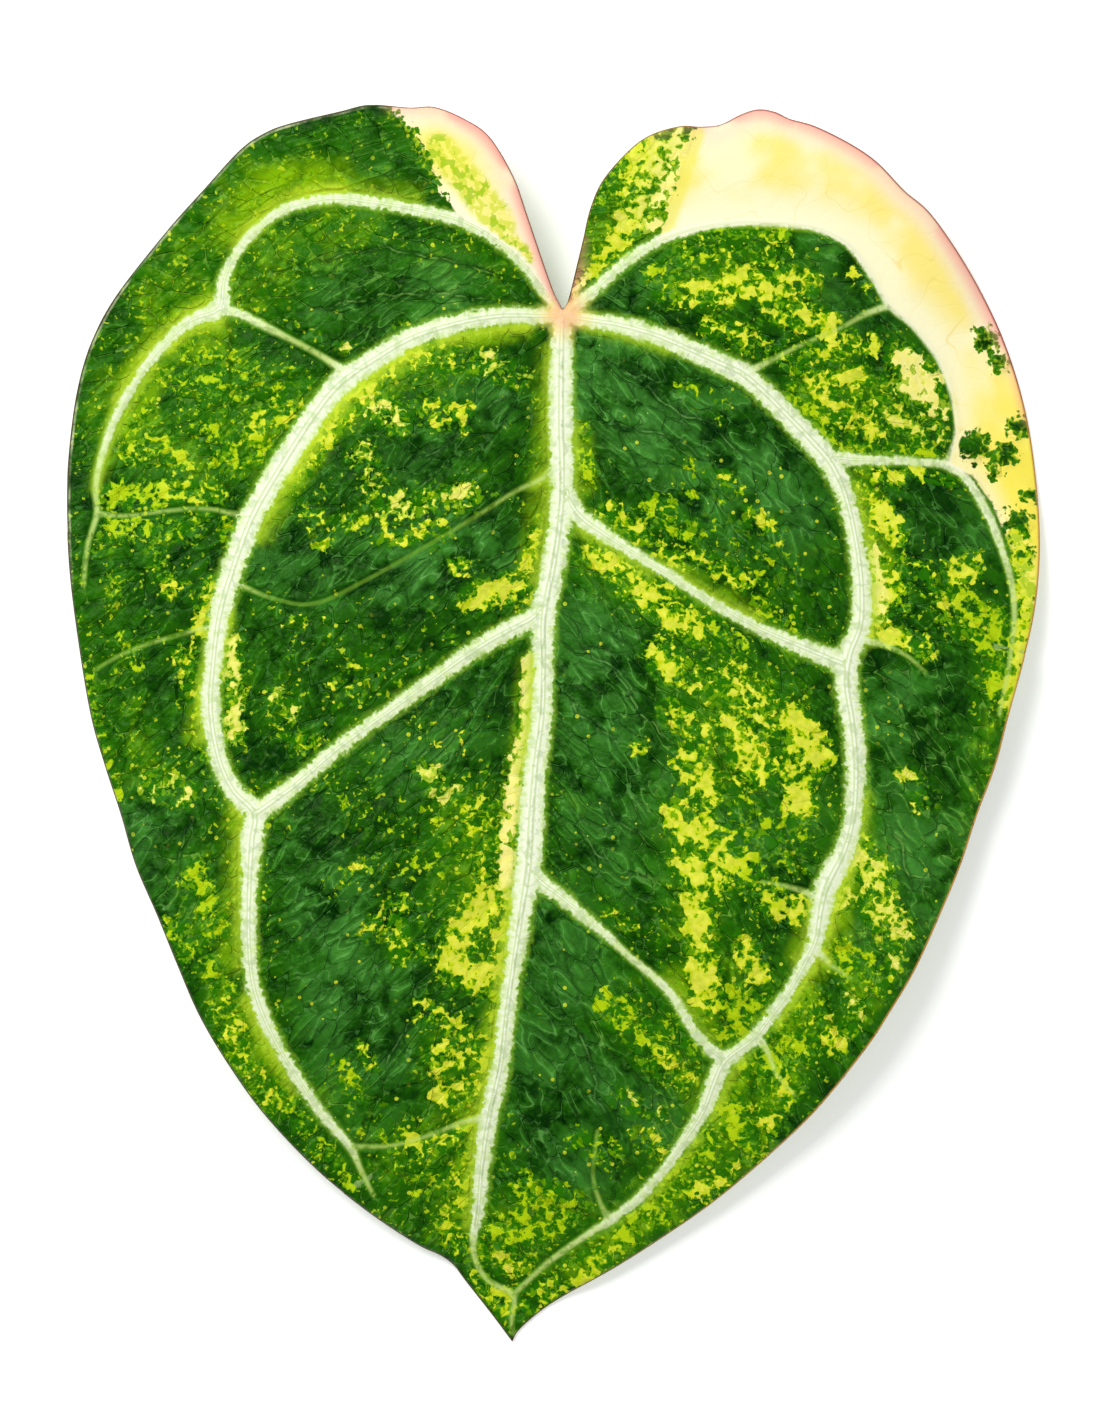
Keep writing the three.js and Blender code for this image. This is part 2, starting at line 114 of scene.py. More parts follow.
MAIN_SPREAD = 0.5
FOLD_SINK = 0.22  # the depth of the long folds
FOLD_SPREAD = 0.6
FOLD_STEP = 1.2
FOLD_WANDER = 1.4
FOLD_WANDER_SIZE = 3.5
FOLD_FADE = 6  # the length over which a fold fades at each end
FOLD_END = 0.7  # how much further away it counts as at its very end
CREAM_FLATNESS = 0.97  # how much smoother the cream sectors are than the green
CREAM_EDGE = (-1, 2)  # they get smoother between these distances inside their border
CREAM_REACH = 5  # distances from that border are told up to this
BAND_CLEAR = 1.5  # the net is whole from these distances from a vein's band and the edge
EDGE_CLEAR = 2
VEIN_CORD_RISE = 0.16  # the round cord along the middle of a main vein
VEIN_CORD_LEAST = 0.22
VEIN_CORD_SHARE = 0.2
VEIN_REACH = 26  # a vein isn't looked for further away than this
FAR = 99.0  # stands for a distance where nothing is near
JOINT_RISE = 0.5
JOINT_PLACE = (-0.5, -1.5)
JOINT_SPREAD = 2.6

# The stub of the stalk
STALK_WIDTH = 5.1
STALK_START = (-0.6, -2.6)
STALK_SINK = 1.6  # how far below the blade's top its middle line starts
STALK_REACH = (9, 7.1)  # how far it runs towards the tip, and down
STALK_COVER = 0.45  # it stays at least this far below the blade's top
STALK_BEND = (0.35, 0.8)  # where its curve is drawn to: shares of the way to the tip, and down
STALK_LEAN = 0.4
STALK_SWELL = 0.16  # how much thicker it is at the blade
STALK_SWELL_REACH = 0.2
STALK_RIBS = 9
STALK_RIB_RISE = 0.012
STALK_RINGS = 40
STALK_SIDES = 36

# How finely the two faces are divided
EDGE_STEP = 0.74
TOP_STEP = 0.8
BOTTOM_STEP = 2.3
TOP_ROWS = {"row_step": 0.9, "edge_insets": (0.12, 0.4, 0.95), "vein_offsets": (0, 0.45, 1.2)}
BOTTOM_ROWS = {"row_step": 1.6, "edge_insets": (0.15, 0.6, 1.8), "vein_offsets": (0, 0.9, 2.2)}
# Least distances between points, as shares of a step: in rows, along creases and in the lattice
ROW_GAP = 0.4
CREASE_GAP = 0.66
LATTICE_GAP = 0.78
CREASE_STEP = 0.5  # how closely places for the points along creases are tried
CREASE_REACH = 0.3
FOLD_ROWS = (0, 0.4, -0.4)
FIRST_ROW_SHARE = 0.85  # rows keep this share of the first row's inset from the edge

# The floor and the photograph's frame
FLOOR_HALF = 3  # metres
FLOOR_GAP = 0.3
PHOTO_HEIGHT = 1426  # pixels
PIXELS_PER_MM = 5
FRAME_MIDDLE = (-2.7, -79.6)
FRAME_LEVEL = 9  # the height at which the leaf has the photograph's size
LENS, SENSOR = 180, 36
WORLD_LIGHT = 0.38

LEFT_EDGE = [
    (-0.5, 1.2), (-2.2, 4.5), (-4.2, 10), (-7.6, 20), (-10.3, 27.5), (-15, 35.3), (-20, 38.9),
    (-26, 41.3), (-31, 41.2), (-39, 41.8), (-45, 40.5), (-55, 38.2), (-60, 36.4), (-65, 33.1),
    (-72.3, 25.4), (-80, 17.1), (-90, 4.8), (-95.3, -5), (-98.2, -15), (-99.8, -27), (-100.1, -36),
    (-99.4, -50), (-97.5, -65), (-95, -80), (-92.2, -90), (-88.9, -100), (-85.9, -110), (-81.5, -120),
    (-77.4, -130), (-73.1, -140), (-67.3, -150), (-60, -160.3), (-50, -171), (-40, -179.3),
    (-30, -186.1), (-25, -188.6), (-22.3, -190.7), (-20, -193.8), (-15, -200.2), (-12, -204.2),
    (-10.6, -206.1),
]
RIGHT_EDGE = [
    (-10.6, -206.1), (-9.3, -203.8), (-5, -200), (0, -196.7), (10, -191), (20, -184.6), (30, -177.5),
    (40, -169), (50, -159.3), (60, -146.8), (65, -139.2), (70, -130.8), (75, -120), (79.2, -110),
    (82.5, -100), (86.2, -90), (88.8, -80), (91.6, -70), (94, -60), (95.2, -50), (95.3, -40),
    (94.5, -30), (92.9, -20), (90.2, -10), (86.3, 0), (80.7, 10.2), (73.5, 20.3), (68, 25),
    (62.5, 30.6), (57, 34.3), (50, 37.7), (45, 39.1), (42, 40.5), (38.5, 41), (35, 39.9), (31, 37.9),
    (27, 37.5), (23, 37.6), (17, 35.8), (12.5, 32.5), (7.5, 26.7), (5, 21), (3.6, 15), (2.4, 10),
    (1.2, 5), (0.3, 2), (-0.5, 1.2),
]

# Each vein is a line of points x, y, w, where w is half the width of its pale band.
VEINS = {
    "midrib": [
        (-0.5, 0, 1.6), (-0.7, -6, 2.2), (-0.8, -20, 2.6), (-0.6, -32, 2.4), (-0.9, -40, 2.4),
        (-2.3, -50, 2.5), (-4.2, -60, 2.5), (-4.3, -70, 2.1), (-4.6, -80, 2.2), (-5.9, -90, 2.4),
        (-6.7, -100, 2.6), (-7.3, -110, 2.7), (-8.8, -120, 2.3), (-10.3, -130, 1.9),
        (-11.7, -140, 1.9), (-12.9, -150, 1.9), (-15.2, -160.5, 2), (-16.6, -170, 1.7),
        (-17.5, -180, 1.4), (-18.4, -185, 0.7), (-18, -189.5, 0.5), (-15.5, -193.7, 0.45),
        (-10.4, -196.7, 0.5), (-10.7, -201, 0.4), (-10.6, -204.5, 0.3),
    ],
    "left arch": [
        (-0.8, -0.3, 1.4), (-5, -0.4, 1.7), (-12, -0.4, 1.9), (-20, -1.6, 2), (-30, -4.6, 2.1),
        (-38, -9.1, 2.2), (-45, -14, 2.4), (-50, -20, 2.5), (-56.5, -30, 2.5), (-62.3, -40, 2.5),
        (-66.1, -50, 2.4), (-69, -60, 2.2), (-70.3, -70, 1.9), (-70.8, -79, 2.1),
        (-69.2, -88.5, 1.9), (-66.3, -95, 2), (-62, -99.6, 2.3), (-62.5, -105, 2.3),
        (-63, -114, 1.9), (-63.1, -125, 1.6), (-62, -135, 1.6), (-58, -145, 1.4), (-52, -155, 1.3),
        (-48.6, -160, 1.1), (-43.2, -166.2, 0.8), (-41, -171, 0.5), (-38.3, -176.3, 0.3),
    ],
    "left lateral": [
        (-4.3, -57, 1.5), (-6, -60.2, 2), (-10, -62.5, 2), (-15, -65.2, 1.9), (-20, -68.4, 1.8),
        (-25, -72, 1.6), (-35, -79.2, 1.5), (-45, -86.4, 1.6), (-53, -93.3, 1.7), (-58, -97, 2.1),
        (-62, -99.8, 2.2),
    ],
    "left lobe": [
        (-0.8, 0.3, 1.2), (-4, 4.5, 1.2), (-8, 9.6, 1.2), (-12.5, 13.8, 1.2), (-20, 18.3, 1.3),
        (-30, 20.9, 1.3), (-40, 22.6, 1.3), (-47, 23.2, 1.2), (-55, 21.6, 1.1), (-60, 18.7, 1),
        (-65, 13.8, 1), (-68.2, 7.5, 1.3), (-69.3, 1.5, 1.9), (-75, -0.8, 1.4), (-80, -5, 1.2),
        (-85, -11, 1.1), (-90, -19.5, 1), (-93.4, -29, 0.7), (-94.3, -35, 0.5), (-93.9, -39.5, 0.5),
        (-95.3, -44.5, 0.4), (-96.1, -50, 0.35), (-96.3, -54, 0.3),
    ],
    "left link": [
        (-69.3, 1.5, 1.2), (-65, 0.3, 0.9), (-60, -2.2, 0.7), (-55, -4.8, 0.5), (-50, -7.5, 0.45),
        (-46, -10, 0.7), (-43, -12, 1),
    ],
    "left cross": [
        (-93.9, -39.5, 0.4), (-88, -40.1, 0.3), (-80, -39.2, 0.25), (-72, -38.7, 0.25),
        (-66, -39.8, 0.4), (-62.3, -39.7, 0.8),
    ],
    "left fine": [
        (-2, -30, 0.6), (-4.5, -32.8, 0.5), (-10, -35.5, 0.3), (-17, -40, 0.22), (-27, -46, 0.14),
        (-40, -53.3, 0.13), (-50, -57.8, 0.13), (-58, -56.8, 0.15), (-65, -54, 0.4),
    ],
    "left outer": [
        (-69.5, -61.8, 0.5), (-75, -63.4, 0.3), (-84, -66, 0.25), (-90, -68.6, 0.2), (-94, -71, 0.2),
    ],
    "left lower": [
        (-15.2, -160.5, 0.9), (-20, -161.4, 0.5), (-27, -164, 0.35), (-35, -166.2, 0.3),
        (-43, -166.4, 0.4),
    ],
    "right arch": [
        (-0.3, -0.3, 1.2), (5, -1.2, 1.6), (10, -2, 1.8), (15, -3.3, 1.9), (20, -5, 2),
        (30, -9.4, 2.2), (35.5, -12, 2.3), (40, -15.8, 2.2), (45, -20.8, 2.2), (50, -26, 2.4),
        (53.3, -30, 2.4), (56, -36, 2), (58.1, -45, 1.9), (59.2, -54, 2.1), (59, -62, 2.2),
        (56.8, -68, 2.4), (56.2, -74, 2.4), (57.4, -82, 2.3), (58.1, -91, 2.2), (57.6, -100, 2),
        (55.8, -107, 2.2), (52.3, -114, 2.6), (51, -119, 2.2), (50, -125, 1.7), (47.6, -130, 1.5),
        (44.8, -135, 1.3), (41.2, -140, 1.4), (37.5, -144.7, 1.5), (32, -149, 1.7),
        (29.8, -153.5, 1.9), (27.5, -159.5, 1.7), (24, -165, 1.3), (20, -170.8, 1.1),
        (15, -176.6, 1.1), (9.5, -181, 0.9), (3, -185.2, 0.6), (-4, -190.5, 0.5), (-10.4, -196.7, 0.4),
    ],
    "right lobe": [
        (-0.2, 0.4, 1.2), (3.5, 2.8, 1.2), (7.5, 6.4, 1.3), (12.5, 10.7, 1.2), (20, 15.2, 1.1),
        (30, 17.9, 0.9), (40, 18.4, 0.8), (50, 17.4, 0.8), (57, 13.9, 0.8), (62, 7, 0.7),
        (65, 2.1, 0.7), (70, -2.2, 0.6), (75, -8.6, 0.6), (77.8, -16, 0.5), (78.6, -23.5, 0.45),
        (76.5, -29.6, 0.6),
    ],
    "right upper": [
        (53, -28.4, 1.6), (58, -28.9, 1.3), (65, -29, 1), (72, -29.3, 0.8), (76.5, -29.8, 0.9),
        (80.5, -32.6, 0.9), (84, -38, 0.9), (87, -45, 0.8), (89.4, -53, 0.6), (90, -61, 0.5),
        (88.6, -71, 0.35), (86.8, -80, 0.3),
    ],
    "right link": [
        (35.5, -12, 1), (40, -9.8, 0.5), (47, -6.2, 0.3), (55, -2.7, 0.3), (60, 0.2, 0.5),
        (65, 2.1, 0.7),
    ],
    "right lateral": [
        (-0.3, -31, 1.2), (0.8, -37, 1.8), (3.5, -40.8, 1.9), (8, -44, 1.5), (13, -47.3, 1.2),
        (20, -51.6, 1.1), (30, -58, 1.1), (40, -63.3, 1.4), (48, -66.7, 1.8), (56, -70, 2.2),
    ],
    "right lower": [
        (-7.4, -109, 1.2), (-5.5, -112.6, 1.8), (0, -116.9, 1.4), (7.5, -123.2, 1), (12, -127.4, 0.7),
        (20, -134.3, 0.9), (23.5, -139.3, 1), (27, -144.7, 1.1), (32, -149.2, 1.6),
    ],
    "right spur": [(51.3, -117, 0.9), (47.5, -115.2, 0.5), (43, -113.9, 0.3), (39, -113.2, 0.2)],
    "right fork": [(38.5, -144.2, 0.9), (40.6, -147.5, 0.5), (42.4, -152, 0.35), (46, -156, 0.2)],
    "right outer": [(59, -65, 1), (63, -65.8, 0.5), (68, -68, 0.3), (72, -71.5, 0.2)],
    "right twig": [(50, -126.5, 0.9), (53, -129.8, 0.4), (57, -132.5, 0.2)],
    "right tail": [(8.7, -181, 0.6), (7.2, -178, 0.35), (5.6, -172, 0.2), (6.5, -163, 0.2)],
}

# Long folds pressed into the panels between the veins
FOLDS = [
    [(10, -22.5), (20, -24.5), (27, -28.5), (32, -31.7), (36.5, -36)],
    [(8, -9), (16, -14.5), (22, -19.5), (30, -23.5), (38, -30)],
    [(25, -34.5), (31, -39), (35, -44.5), (40, -48.5)],
    [(0, -64), (7, -69), (11, -73), (14, -78), (18, -82), (22, -87)],
    [(0, -72), (2, -78), (5, -82), (11, -85.5), (18, -88)],
    [(4, -93), (8, -98), (12, -102), (16, -105), (20, -109.5)],
    [(1, -100), (6, -107), (10, -112)],
    [(31, -100), (35, -103.5), (40, -108.5)],
    [(0, -140), (4, -146), (6, -152), (7, -158), (9.5, -162), (12, -166.5)],
    [(-8, -14), (-16, -19), (-24, -26), (-33, -31)],
    [(-22, -28), (-31, -37), (-42, -47)],
    [(-16, -80), (-26, -86), (-36, -96), (-44, -106)],
    [(-20, -106), (-29, -112), (-37, -124)],
    [(-24, -134), (-32, -143), (-38, -153)],
    [(-74, -100), (-77, -108), (-78, -118)],
    [(66, -76), (71, -86), (73, -98)],
    [(64, -100), (68, -108), (69, -118)],
    [(-10, 6), (-24, 11), (-38, 13), (-50, 10)],
    [(-12, 2), (-26, 4), (-40, 3), (-54, 0)],
]

STROKE_REACH = 1.6  # a patch or other stroke fades out at this many half widths

# The variegation. Each patch runs from one place to another: colour, cover, half width, from, to.
# Cover is the share of it that has the colour, in flecks; at 1 it is solid.
LIME, YELLOW, PALE, CREAM = 0.0, 0.5, 1.0, 1.5
PATCHES = [
    # left lobe, above its vein
    (LIME, 0.55, 3, (-25, 33), (-19, 26)), (LIME, 0.55, 3.2, (-19, 26), (-13, 18)),
    (LIME, 0.5, 1.8, (-13, 17), (-8, 11.5)),
    # left, between the lobe's vein and the arch
    (PALE, 0.3, 1.5, (-48, -4), (-44, -7)), (PALE, 0.3, 1.2, (-34, -3), (-31, -2)),
    # left, outside the arch, above the cross vein
    (0.1, 0.33, 3.5, (-79, -4), (-72, -8)), (0.2, 0.34, 3.5, (-86, -14), (-80, -12)),
    (LIME, 0.34, 3, (-89, -22), (-84, -20)), (0.2, 0.48, 3.5, (-86, -26), (-77, -28)),
    (0.35, 0.58, 3, (-63, -23), (-56, -18)), (LIME, 0.44, 3.5, (-68, -29), (-61, -26)),
    (LIME, 0.5, 3, (-91, -36), (-83, -36)), (0.3, 0.55, 2.5, (-80, -35), (-70, -36)),
    (LIME, 0.32, 5, (-74, -14), (-66, -12)), (LIME, 0.22, 4, (-72, -22), (-66, -24)),
    (LIME, 0.25, 3, (-58, -14), (-52, -13)),
    # left, outside the arch, below the cross vein
    (LIME, 0.5, 2.5, (-92, -43), (-74, -43)), (LIME, 0.45, 2, (-68, -42), (-65, -47)),
    (YELLOW, 0.35, 2.5, (-82, -47), (-79, -55)), (LIME, 0.3, 2, (-89, -52), (-90, -55)),
    (YELLOW, 0.6, 1.8, (-70.5, -53), (-73, -63)), (YELLOW, 0.5, 3, (-76, -68), (-73, -76)),
    (LIME, 0.3, 2, (-88, -64), (-85, -70)), (LIME, 0.5, 1.5, (-96, -71), (-94, -81)),
    (LIME, 0.35, 1.5, (-93, -84), (-90, -96)), (LIME, 0.6, 1.6, (-73.4, -78), (-72, -88)),
    (PALE, 0.6, 3, (-82, -94), (-76, -96)), (LIME, 0.45, 3.5, (-74, -112), (-70, -122)),
    (LIME, 0.45, 2.5, (-78, -122), (-75, -128)), (LIME, 0.4, 2.5, (-71, -130), (-68, -135)),
    (YELLOW, 0.6, 3, (-68, -138), (-66, -147)), (YELLOW, 0.5, 2.5, (-63, -150), (-59, -158)),
    (LIME, 0.4, 2.5, (-57, -154), (-52, -163)), (LIME, 0.3, 2, (-50, -166), (-42, -174)),
    # left, between the arch and the midrib, above the side vein
    (YELLOW, 0.7, 2.2, (-35, -11.5), (-42, -16.5)), (YELLOW, 0.75, 2.4, (-42, -17), (-47.5, -24)),
    (YELLOW, 0.5, 2, (-48, -25), (-52, -31)), (YELLOW, 0.45, 3, (-31, -9.5), (-23, -9)),
    (PALE, 0.5, 3, (-17, -10), (-10, -12.5)), (YELLOW, 0.45, 3.5, (-28, -20), (-21, -21)),
    (PALE, 0.4, 3.5, (-37, -19), (-33, -22)), (0.8, 0.45, 3, (-40, -29), (-36, -38)),
    (0.8, 0.5, 3.2, (-31, -38), (-19, -37)), (YELLOW, 0.55, 2, (-45, -42), (-40, -42)),
    (YELLOW, 0.45, 3, (-36, -44), (-25, -44)), (YELLOW, 0.25, 3, (-54, -35), (-48, -45)),
    (YELLOW, 0.45, 2, (-22, -50), (-18, -51)), (YELLOW, 0.8, 3, (-18, -57), (-9, -54)),
    (YELLOW, 0.7, 1.6, (-6, -44), (-8, -57)), (YELLOW, 0.15, 2, (-58, -61), (-48, -62)),
    (PALE, 0.7, 2.4, (-66.5, -66), (-66, -84)), (PALE, 0.6, 2.2, (-58, -76), (-55, -79)),
    (YELLOW, 0.4, 2.5, (-55, -84), (-49, -87)), (YELLOW, 0.06, 8, (-50, -68), (-30, -62)),
    (YELLOW, 0.25, 3, (-45, -75), (-40, -70)),
    # left, between the side vein and the tip
    (CREAM, 1, 1.6, (-6.8, -69), (-8.5, -86)), (CREAM, 1, 2.4, (-9.2, -88), (-10.2, -100)),
    (CREAM, 0.95, 2.4, (-10.6, -100), (-11.5, -114)), (YELLOW, 0.45, 4, (-17, -100), (-16, -108)),
    (PALE, 0.5, 3, (-28, -91), (-23, -96)), (YELLOW, 0.7, 2, (-20, -98), (-17, -97)),
    (YELLOW, 0.95, 4.5, (-13, -117), (-17, -119)), (YELLOW, 0.95, 3.5, (-21, -124), (-22, -130)),
    (YELLOW, 0.9, 2.4, (-12, -122), (-12, -131)), (YELLOW, 0.85, 2.5, (-19, -133), (-15, -131)),
    (YELLOW, 0.4, 3.5, (-34, -118), (-38, -123)), (YELLOW, 0.6, 2.2, (-33, -122), (-33, -128)),
    (YELLOW, 0.4, 1.5, (-29, -126), (-28, -128)), (YELLOW, 0.25, 3, (-46, -114), (-41, -110)),
    (YELLOW, 0.4, 3, (-28, -139), (-21, -142)), (YELLOW, 0.8, 3.2, (-25, -149), (-22, -148)),
    (YELLOW, 0.7, 2.5, (-18, -145), (-16, -149)), (YELLOW, 0.7, 2.8, (-24, -156), (-19, -155)),
    (YELLOW, 0.45, 1.5, (-41, -146), (-38, -150)), (LIME, 0.5, 1.8, (-13, -135), (-16, -156)),
    (YELLOW, 0.5, 3, (-30, -166), (-21, -165)), (LIME, 0.5, 2, (-19, -163), (-20, -178)),
    (YELLOW, 0.5, 2.5, (-21, -172), (-22, -178)), (0.3, 0.55, 3, (-24, -182), (-19, -187)),
    (0.3, 0.45, 3, (-17, -193), (-12, -199)),
    (LIME, 0.4, 2.5, (-45, -150), (-42, -155)), (LIME, 0.2, 6, (-38, -160), (-28, -172)),
    (LIME, 0.15, 9, (-40, -100), (-25, -108)), (YELLOW, 0.15, 6, (-30, -82), (-18, -84)),
    # right lobe, by the notch
    (0.7, 0.8, 3.2, (13, 19), (20, 34)), (CREAM, 0.82, 3.4, (18.5, 19), (24, 36)),
    (YELLOW, 0.8, 3, (9, 12), (13, 18)), (YELLOW, 0.6, 3, (12, 26), (16, 34)),
    (LIME, 0.45, 2.5, (8, 24), (11, 29)), (0.3, 0.8, 2, (5.5, 8.5), (9, 13)),
    (CREAM, 0.9, 1, (2.2, 3.8), (4.2, 8)),
    # right, between the lobe's vein and the arch
    (LIME, 0.6, 1.6, (30, 16), (44, 16.5)), (LIME, 0.35, 3, (18, 8), (27, 12)),
    (YELLOW, 0.7, 2.8, (20, 5), (32, 4)), (YELLOW, 0.85, 3, (32, 6.5), (42, 5)),
    (YELLOW, 0.65, 2.5, (42, 8.5), (49, 6)), (YELLOW, 0.75, 2.6, (41, 1), (53, -2)),
    (YELLOW, 0.55, 2.6, (29, -2.5), (38, -6)), (YELLOW, 0.45, 2, (38, -7), (44, -8)),
    (YELLOW, 0.5, 3, (47, -9), (54, -7)), (YELLOW, 0.6, 2.5, (56, -5), (62, -6)),
    (YELLOW, 0.75, 2.8, (50, -14), (58, -13)), (CREAM, 0.9, 3.2, (67, -8), (73, -14)),
    (CREAM, 0.88, 2.8, (68, -14), (75.5, -17.5)), (YELLOW, 0.45, 3.5, (53, -20), (61, -22)),
    (LIME, 0.55, 2, (46, -15.5), (53, -24)), (LIME, 0.6, 1.4, (56, -26.8), (74, -27.4)),
    (0.8, 0.5, 3, (64, -20), (74, -24)), (YELLOW, 0.5, 4, (60, -14), (67, -18)),
    (YELLOW, 0.12, 5, (50, 12), (60, 6)), (YELLOW, 0.25, 4, (24, 13), (44, 12)),
    # right, outside the arch, below the upper vein
    (YELLOW, 0.5, 3, (60, -33), (67, -32)), (YELLOW, 0.85, 2.6, (63, -39), (66.5, -44)),
    (YELLOW, 0.6, 2, (60.5, -36), (61, -43)), (CREAM, 0.95, 1.8, (61.6, -48), (62.6, -60)),
    (YELLOW, 0.6, 3, (65, -50), (66, -58)), (YELLOW, 0.8, 2.8, (78, -51), (82, -50)),
    (YELLOW, 0.35, 3, (71, -52), (77, -58)), (YELLOW, 0.45, 2.5, (75, -61), (81, -63)),
    (YELLOW, 0.6, 2.5, (63, -63), (72, -67)), (LIME, 0.5, 3, (80, -58), (86, -68)),
    (YELLOW, 0.5, 1.5, (70, -31.5), (77, -33)), (YELLOW, 0.8, 2.4, (91, -44), (92.5, -60)),
    (YELLOW, 0.85, 2.4, (92, -62), (88.5, -78)), (LIME, 0.55, 2.4, (87, -60), (86, -75)),
    # right, outside the arch, down to the tip
    (0.7, 0.35, 3, (68, -92), (72, -97)), (LIME, 0.3, 1.6, (60.5, -97), (60, -103)),
    (0.7, 0.7, 3.6, (59, -108), (63, -113)), (0.7, 0.65, 3.8, (61, -117), (66, -123)),
    (0.7, 0.75, 1.8, (57, -110), (55, -118)), (LIME, 0.4, 3.5, (55, -127), (62, -133)),
    (PALE, 0.55, 2.2, (58, -137), (57, -143)), (PALE, 0.5, 2, (67, -124), (66, -130)),
    (LIME, 0.6, 4, (39, -149), (47, -146)), (YELLOW, 0.65, 3.5, (44, -155), (40, -160)),
    (LIME, 0.5, 4, (32, -158), (38, -166)), (LIME, 0.45, 4, (27, -166), (22, -174)),
    (YELLOW, 0.55, 3, (33, -171), (27, -176)), (LIME, 0.45, 3.5, (20, -178), (12, -184)),
    (YELLOW, 0.5, 2.5, (51, -141), (54, -146)), (0.3, 0.55, 3, (10, -187), (2, -192)),
    (LIME, 0.3, 5, (48, -136), (42, -143)), (0.3, 0.5, 3, (0, -194), (-6, -198)),
    # right, between the midrib and the arch, above the side vein
    (LIME, 0.45, 2, (3.5, -23), (5, -32)), (LIME, 0.22, 3.5, (24, -15), (30, -19)),
    (YELLOW, 0.55, 1.5, (31, -32), (35, -35)), (YELLOW, 0.45, 2.5, (37, -40), (42, -44)),
    (YELLOW, 0.65, 2.6, (9, -40), (15, -44)), (LIME, 0.4, 3, (18, -39), (25, -44)),
    (YELLOW, 0.6, 2.4, (16, -46), (23, -50)), (YELLOW, 0.45, 2.6, (28, -49), (35, -54)),
    (LIME, 0.2, 6, (25, -32), (42, -52)), (LIME, 0.35, 2.5, (38, -58), (46, -63)),
    # right, between the midrib and the arch, below the side vein
    (YELLOW, 0.7, 2.4, (5, -47), (12, -51)), (YELLOW, 0.7, 3.4, (12, -53), (20, -58)),
    (YELLOW, 0.75, 3, (20, -59), (26, -63)), (LIME, 0.4, 3, (28, -62), (34, -66)),
    (YELLOW, 0.85, 3, (18, -68), (21, -71)), (0.6, 0.4, 3, (24, -70), (29, -76)),
    (YELLOW, 0.6, 2.8, (21, -79), (27, -84)), (0.6, 0.6, 5, (32, -75), (40, -80)),
    (YELLOW, 0.85, 3.6, (34, -83), (38, -91)), (YELLOW, 0.9, 3.6, (45, -81), (50, -88)),
    (YELLOW, 0.85, 3.2, (46, -92), (47, -99)), (YELLOW, 0.85, 3.6, (25, -89), (28, -95)),
    (YELLOW, 0.85, 2.8, (22, -99), (24, -104)), (YELLOW, 0.85, 3.6, (27, -102), (33, -109)),
    (YELLOW, 0.8, 3.4, (24, -110), (30, -113)), (YELLOW, 0.9, 3, (26, -117), (27, -126)),
    (YELLOW, 0.92, 3, (27, -127), (28, -137)), (LIME, 0.5, 3, (34, -111), (42, -116)),
    (YELLOW, 0.7, 3, (40, -117), (46, -119)), (YELLOW, 0.85, 2.6, (36, -127), (38, -131)),
    (LIME, 0.5, 4, (33, -137), (40, -139)), (LIME, 0.6, 3, (31, -144), (36, -144)),
    (LIME, 0.3, 6, (36, -102), (44, -106)), (YELLOW, 0.25, 3, (8, -117), (12, -121)),
    (YELLOW, 0.25, 2, (12, -87), (15, -86)),
    # right, below the lower vein
    (LIME, 0.5, 3.4, (9, -138), (17, -145)), (YELLOW, 0.45, 3, (17, -148), (24, -153)),
    (PALE, 0.4, 3, (11, -156), (18, -160)), (LIME, 0.4, 3, (3, -165), (9, -168)),
    (LIME, 0.6, 3.5, (-12, -184), (-4, -182)), (YELLOW, 0.6, 3, (-14, -190), (-9, -190)),
    (LIME, 0.5, 3.5, (-8, -174), (2, -178)), (YELLOW, 0.5, 2.5, (15, -164), (19, -167)),
    (LIME, 0.35, 3, (22, -141), (25, -147)),
]

# Where whole sectors have no green at all. Each is a closed outline that may run past the leaf's edge.
CREAM_SECTORS = {
    "right lobe": [
        (25, 44), (25.5, 37), (23.5, 31), (21.5, 26), (20, 20), (19, 14.7), (30, 17.9), (40, 18.4),
        (50, 17.4), (57, 13.9), (62, 7), (65, 2.1), (70, -2.2), (75, -8.6), (77.8, -16),
        (78.6, -23.5), (77, -29.8), (82, -32), (86, -38), (89, -45.5), (91.5, -54), (93, -62),
        (99, -64), (106, -20), (84, 22), (52, 48),
    ],
    "left lobe": [
        (-36, 45), (-34, 40), (-30, 36), (-27, 31), (-25, 25), (-21.5, 20), (-16, 17), (-8.5, 11.3),
        (-4.3, 5.8), (-1, 1), (0, 12), (-6, 30), (-18, 46),
    ],
}
# Green islets in the cream: x, y, radius
ISLETS = [
    (84.5, -4.2, 2.3), (87.6, -9.2, 1.8), (91, -22, 2.2), (88.8, -27.6, 2.5), (82, -26, 3),
    (91, -41.5, 2.8), (91.5, -48, 2.3), (93.5, -36, 1.5), (91, -57, 2.2), (86.2, -31, 1.5),
]
# Pink blushes: strength, half width, from, to
BLUSHES = [
    (0.9, 3.2, (-1, -0.5), (0.5, -1)), (0.75, 2.2, (-1.5, 4), (-9, 24)),
    (0.85, 2, (-12, 31), (-22, 40)), (0.35, 2, (-24, 41), (-34, 41)), (0.55, 0.7, (1.5, 4), (4, 15)),
    (0.35, 2, (18, 36), (27, 38)), (0.75, 2, (35, 40), (45, 39)), (0.7, 2.4, (48, 38), (61, 31)),
    (0.25, 2, (62, 30), (74, 19)), (0.75, 2.6, (76, 16), (88, -4)), (0.45, 1.6, (89, -6), (93, -20)),
    (1, 3, (2, 3), (4.5, 8)), (0.45, 2, (-3, 3), (-6, 6)),
]
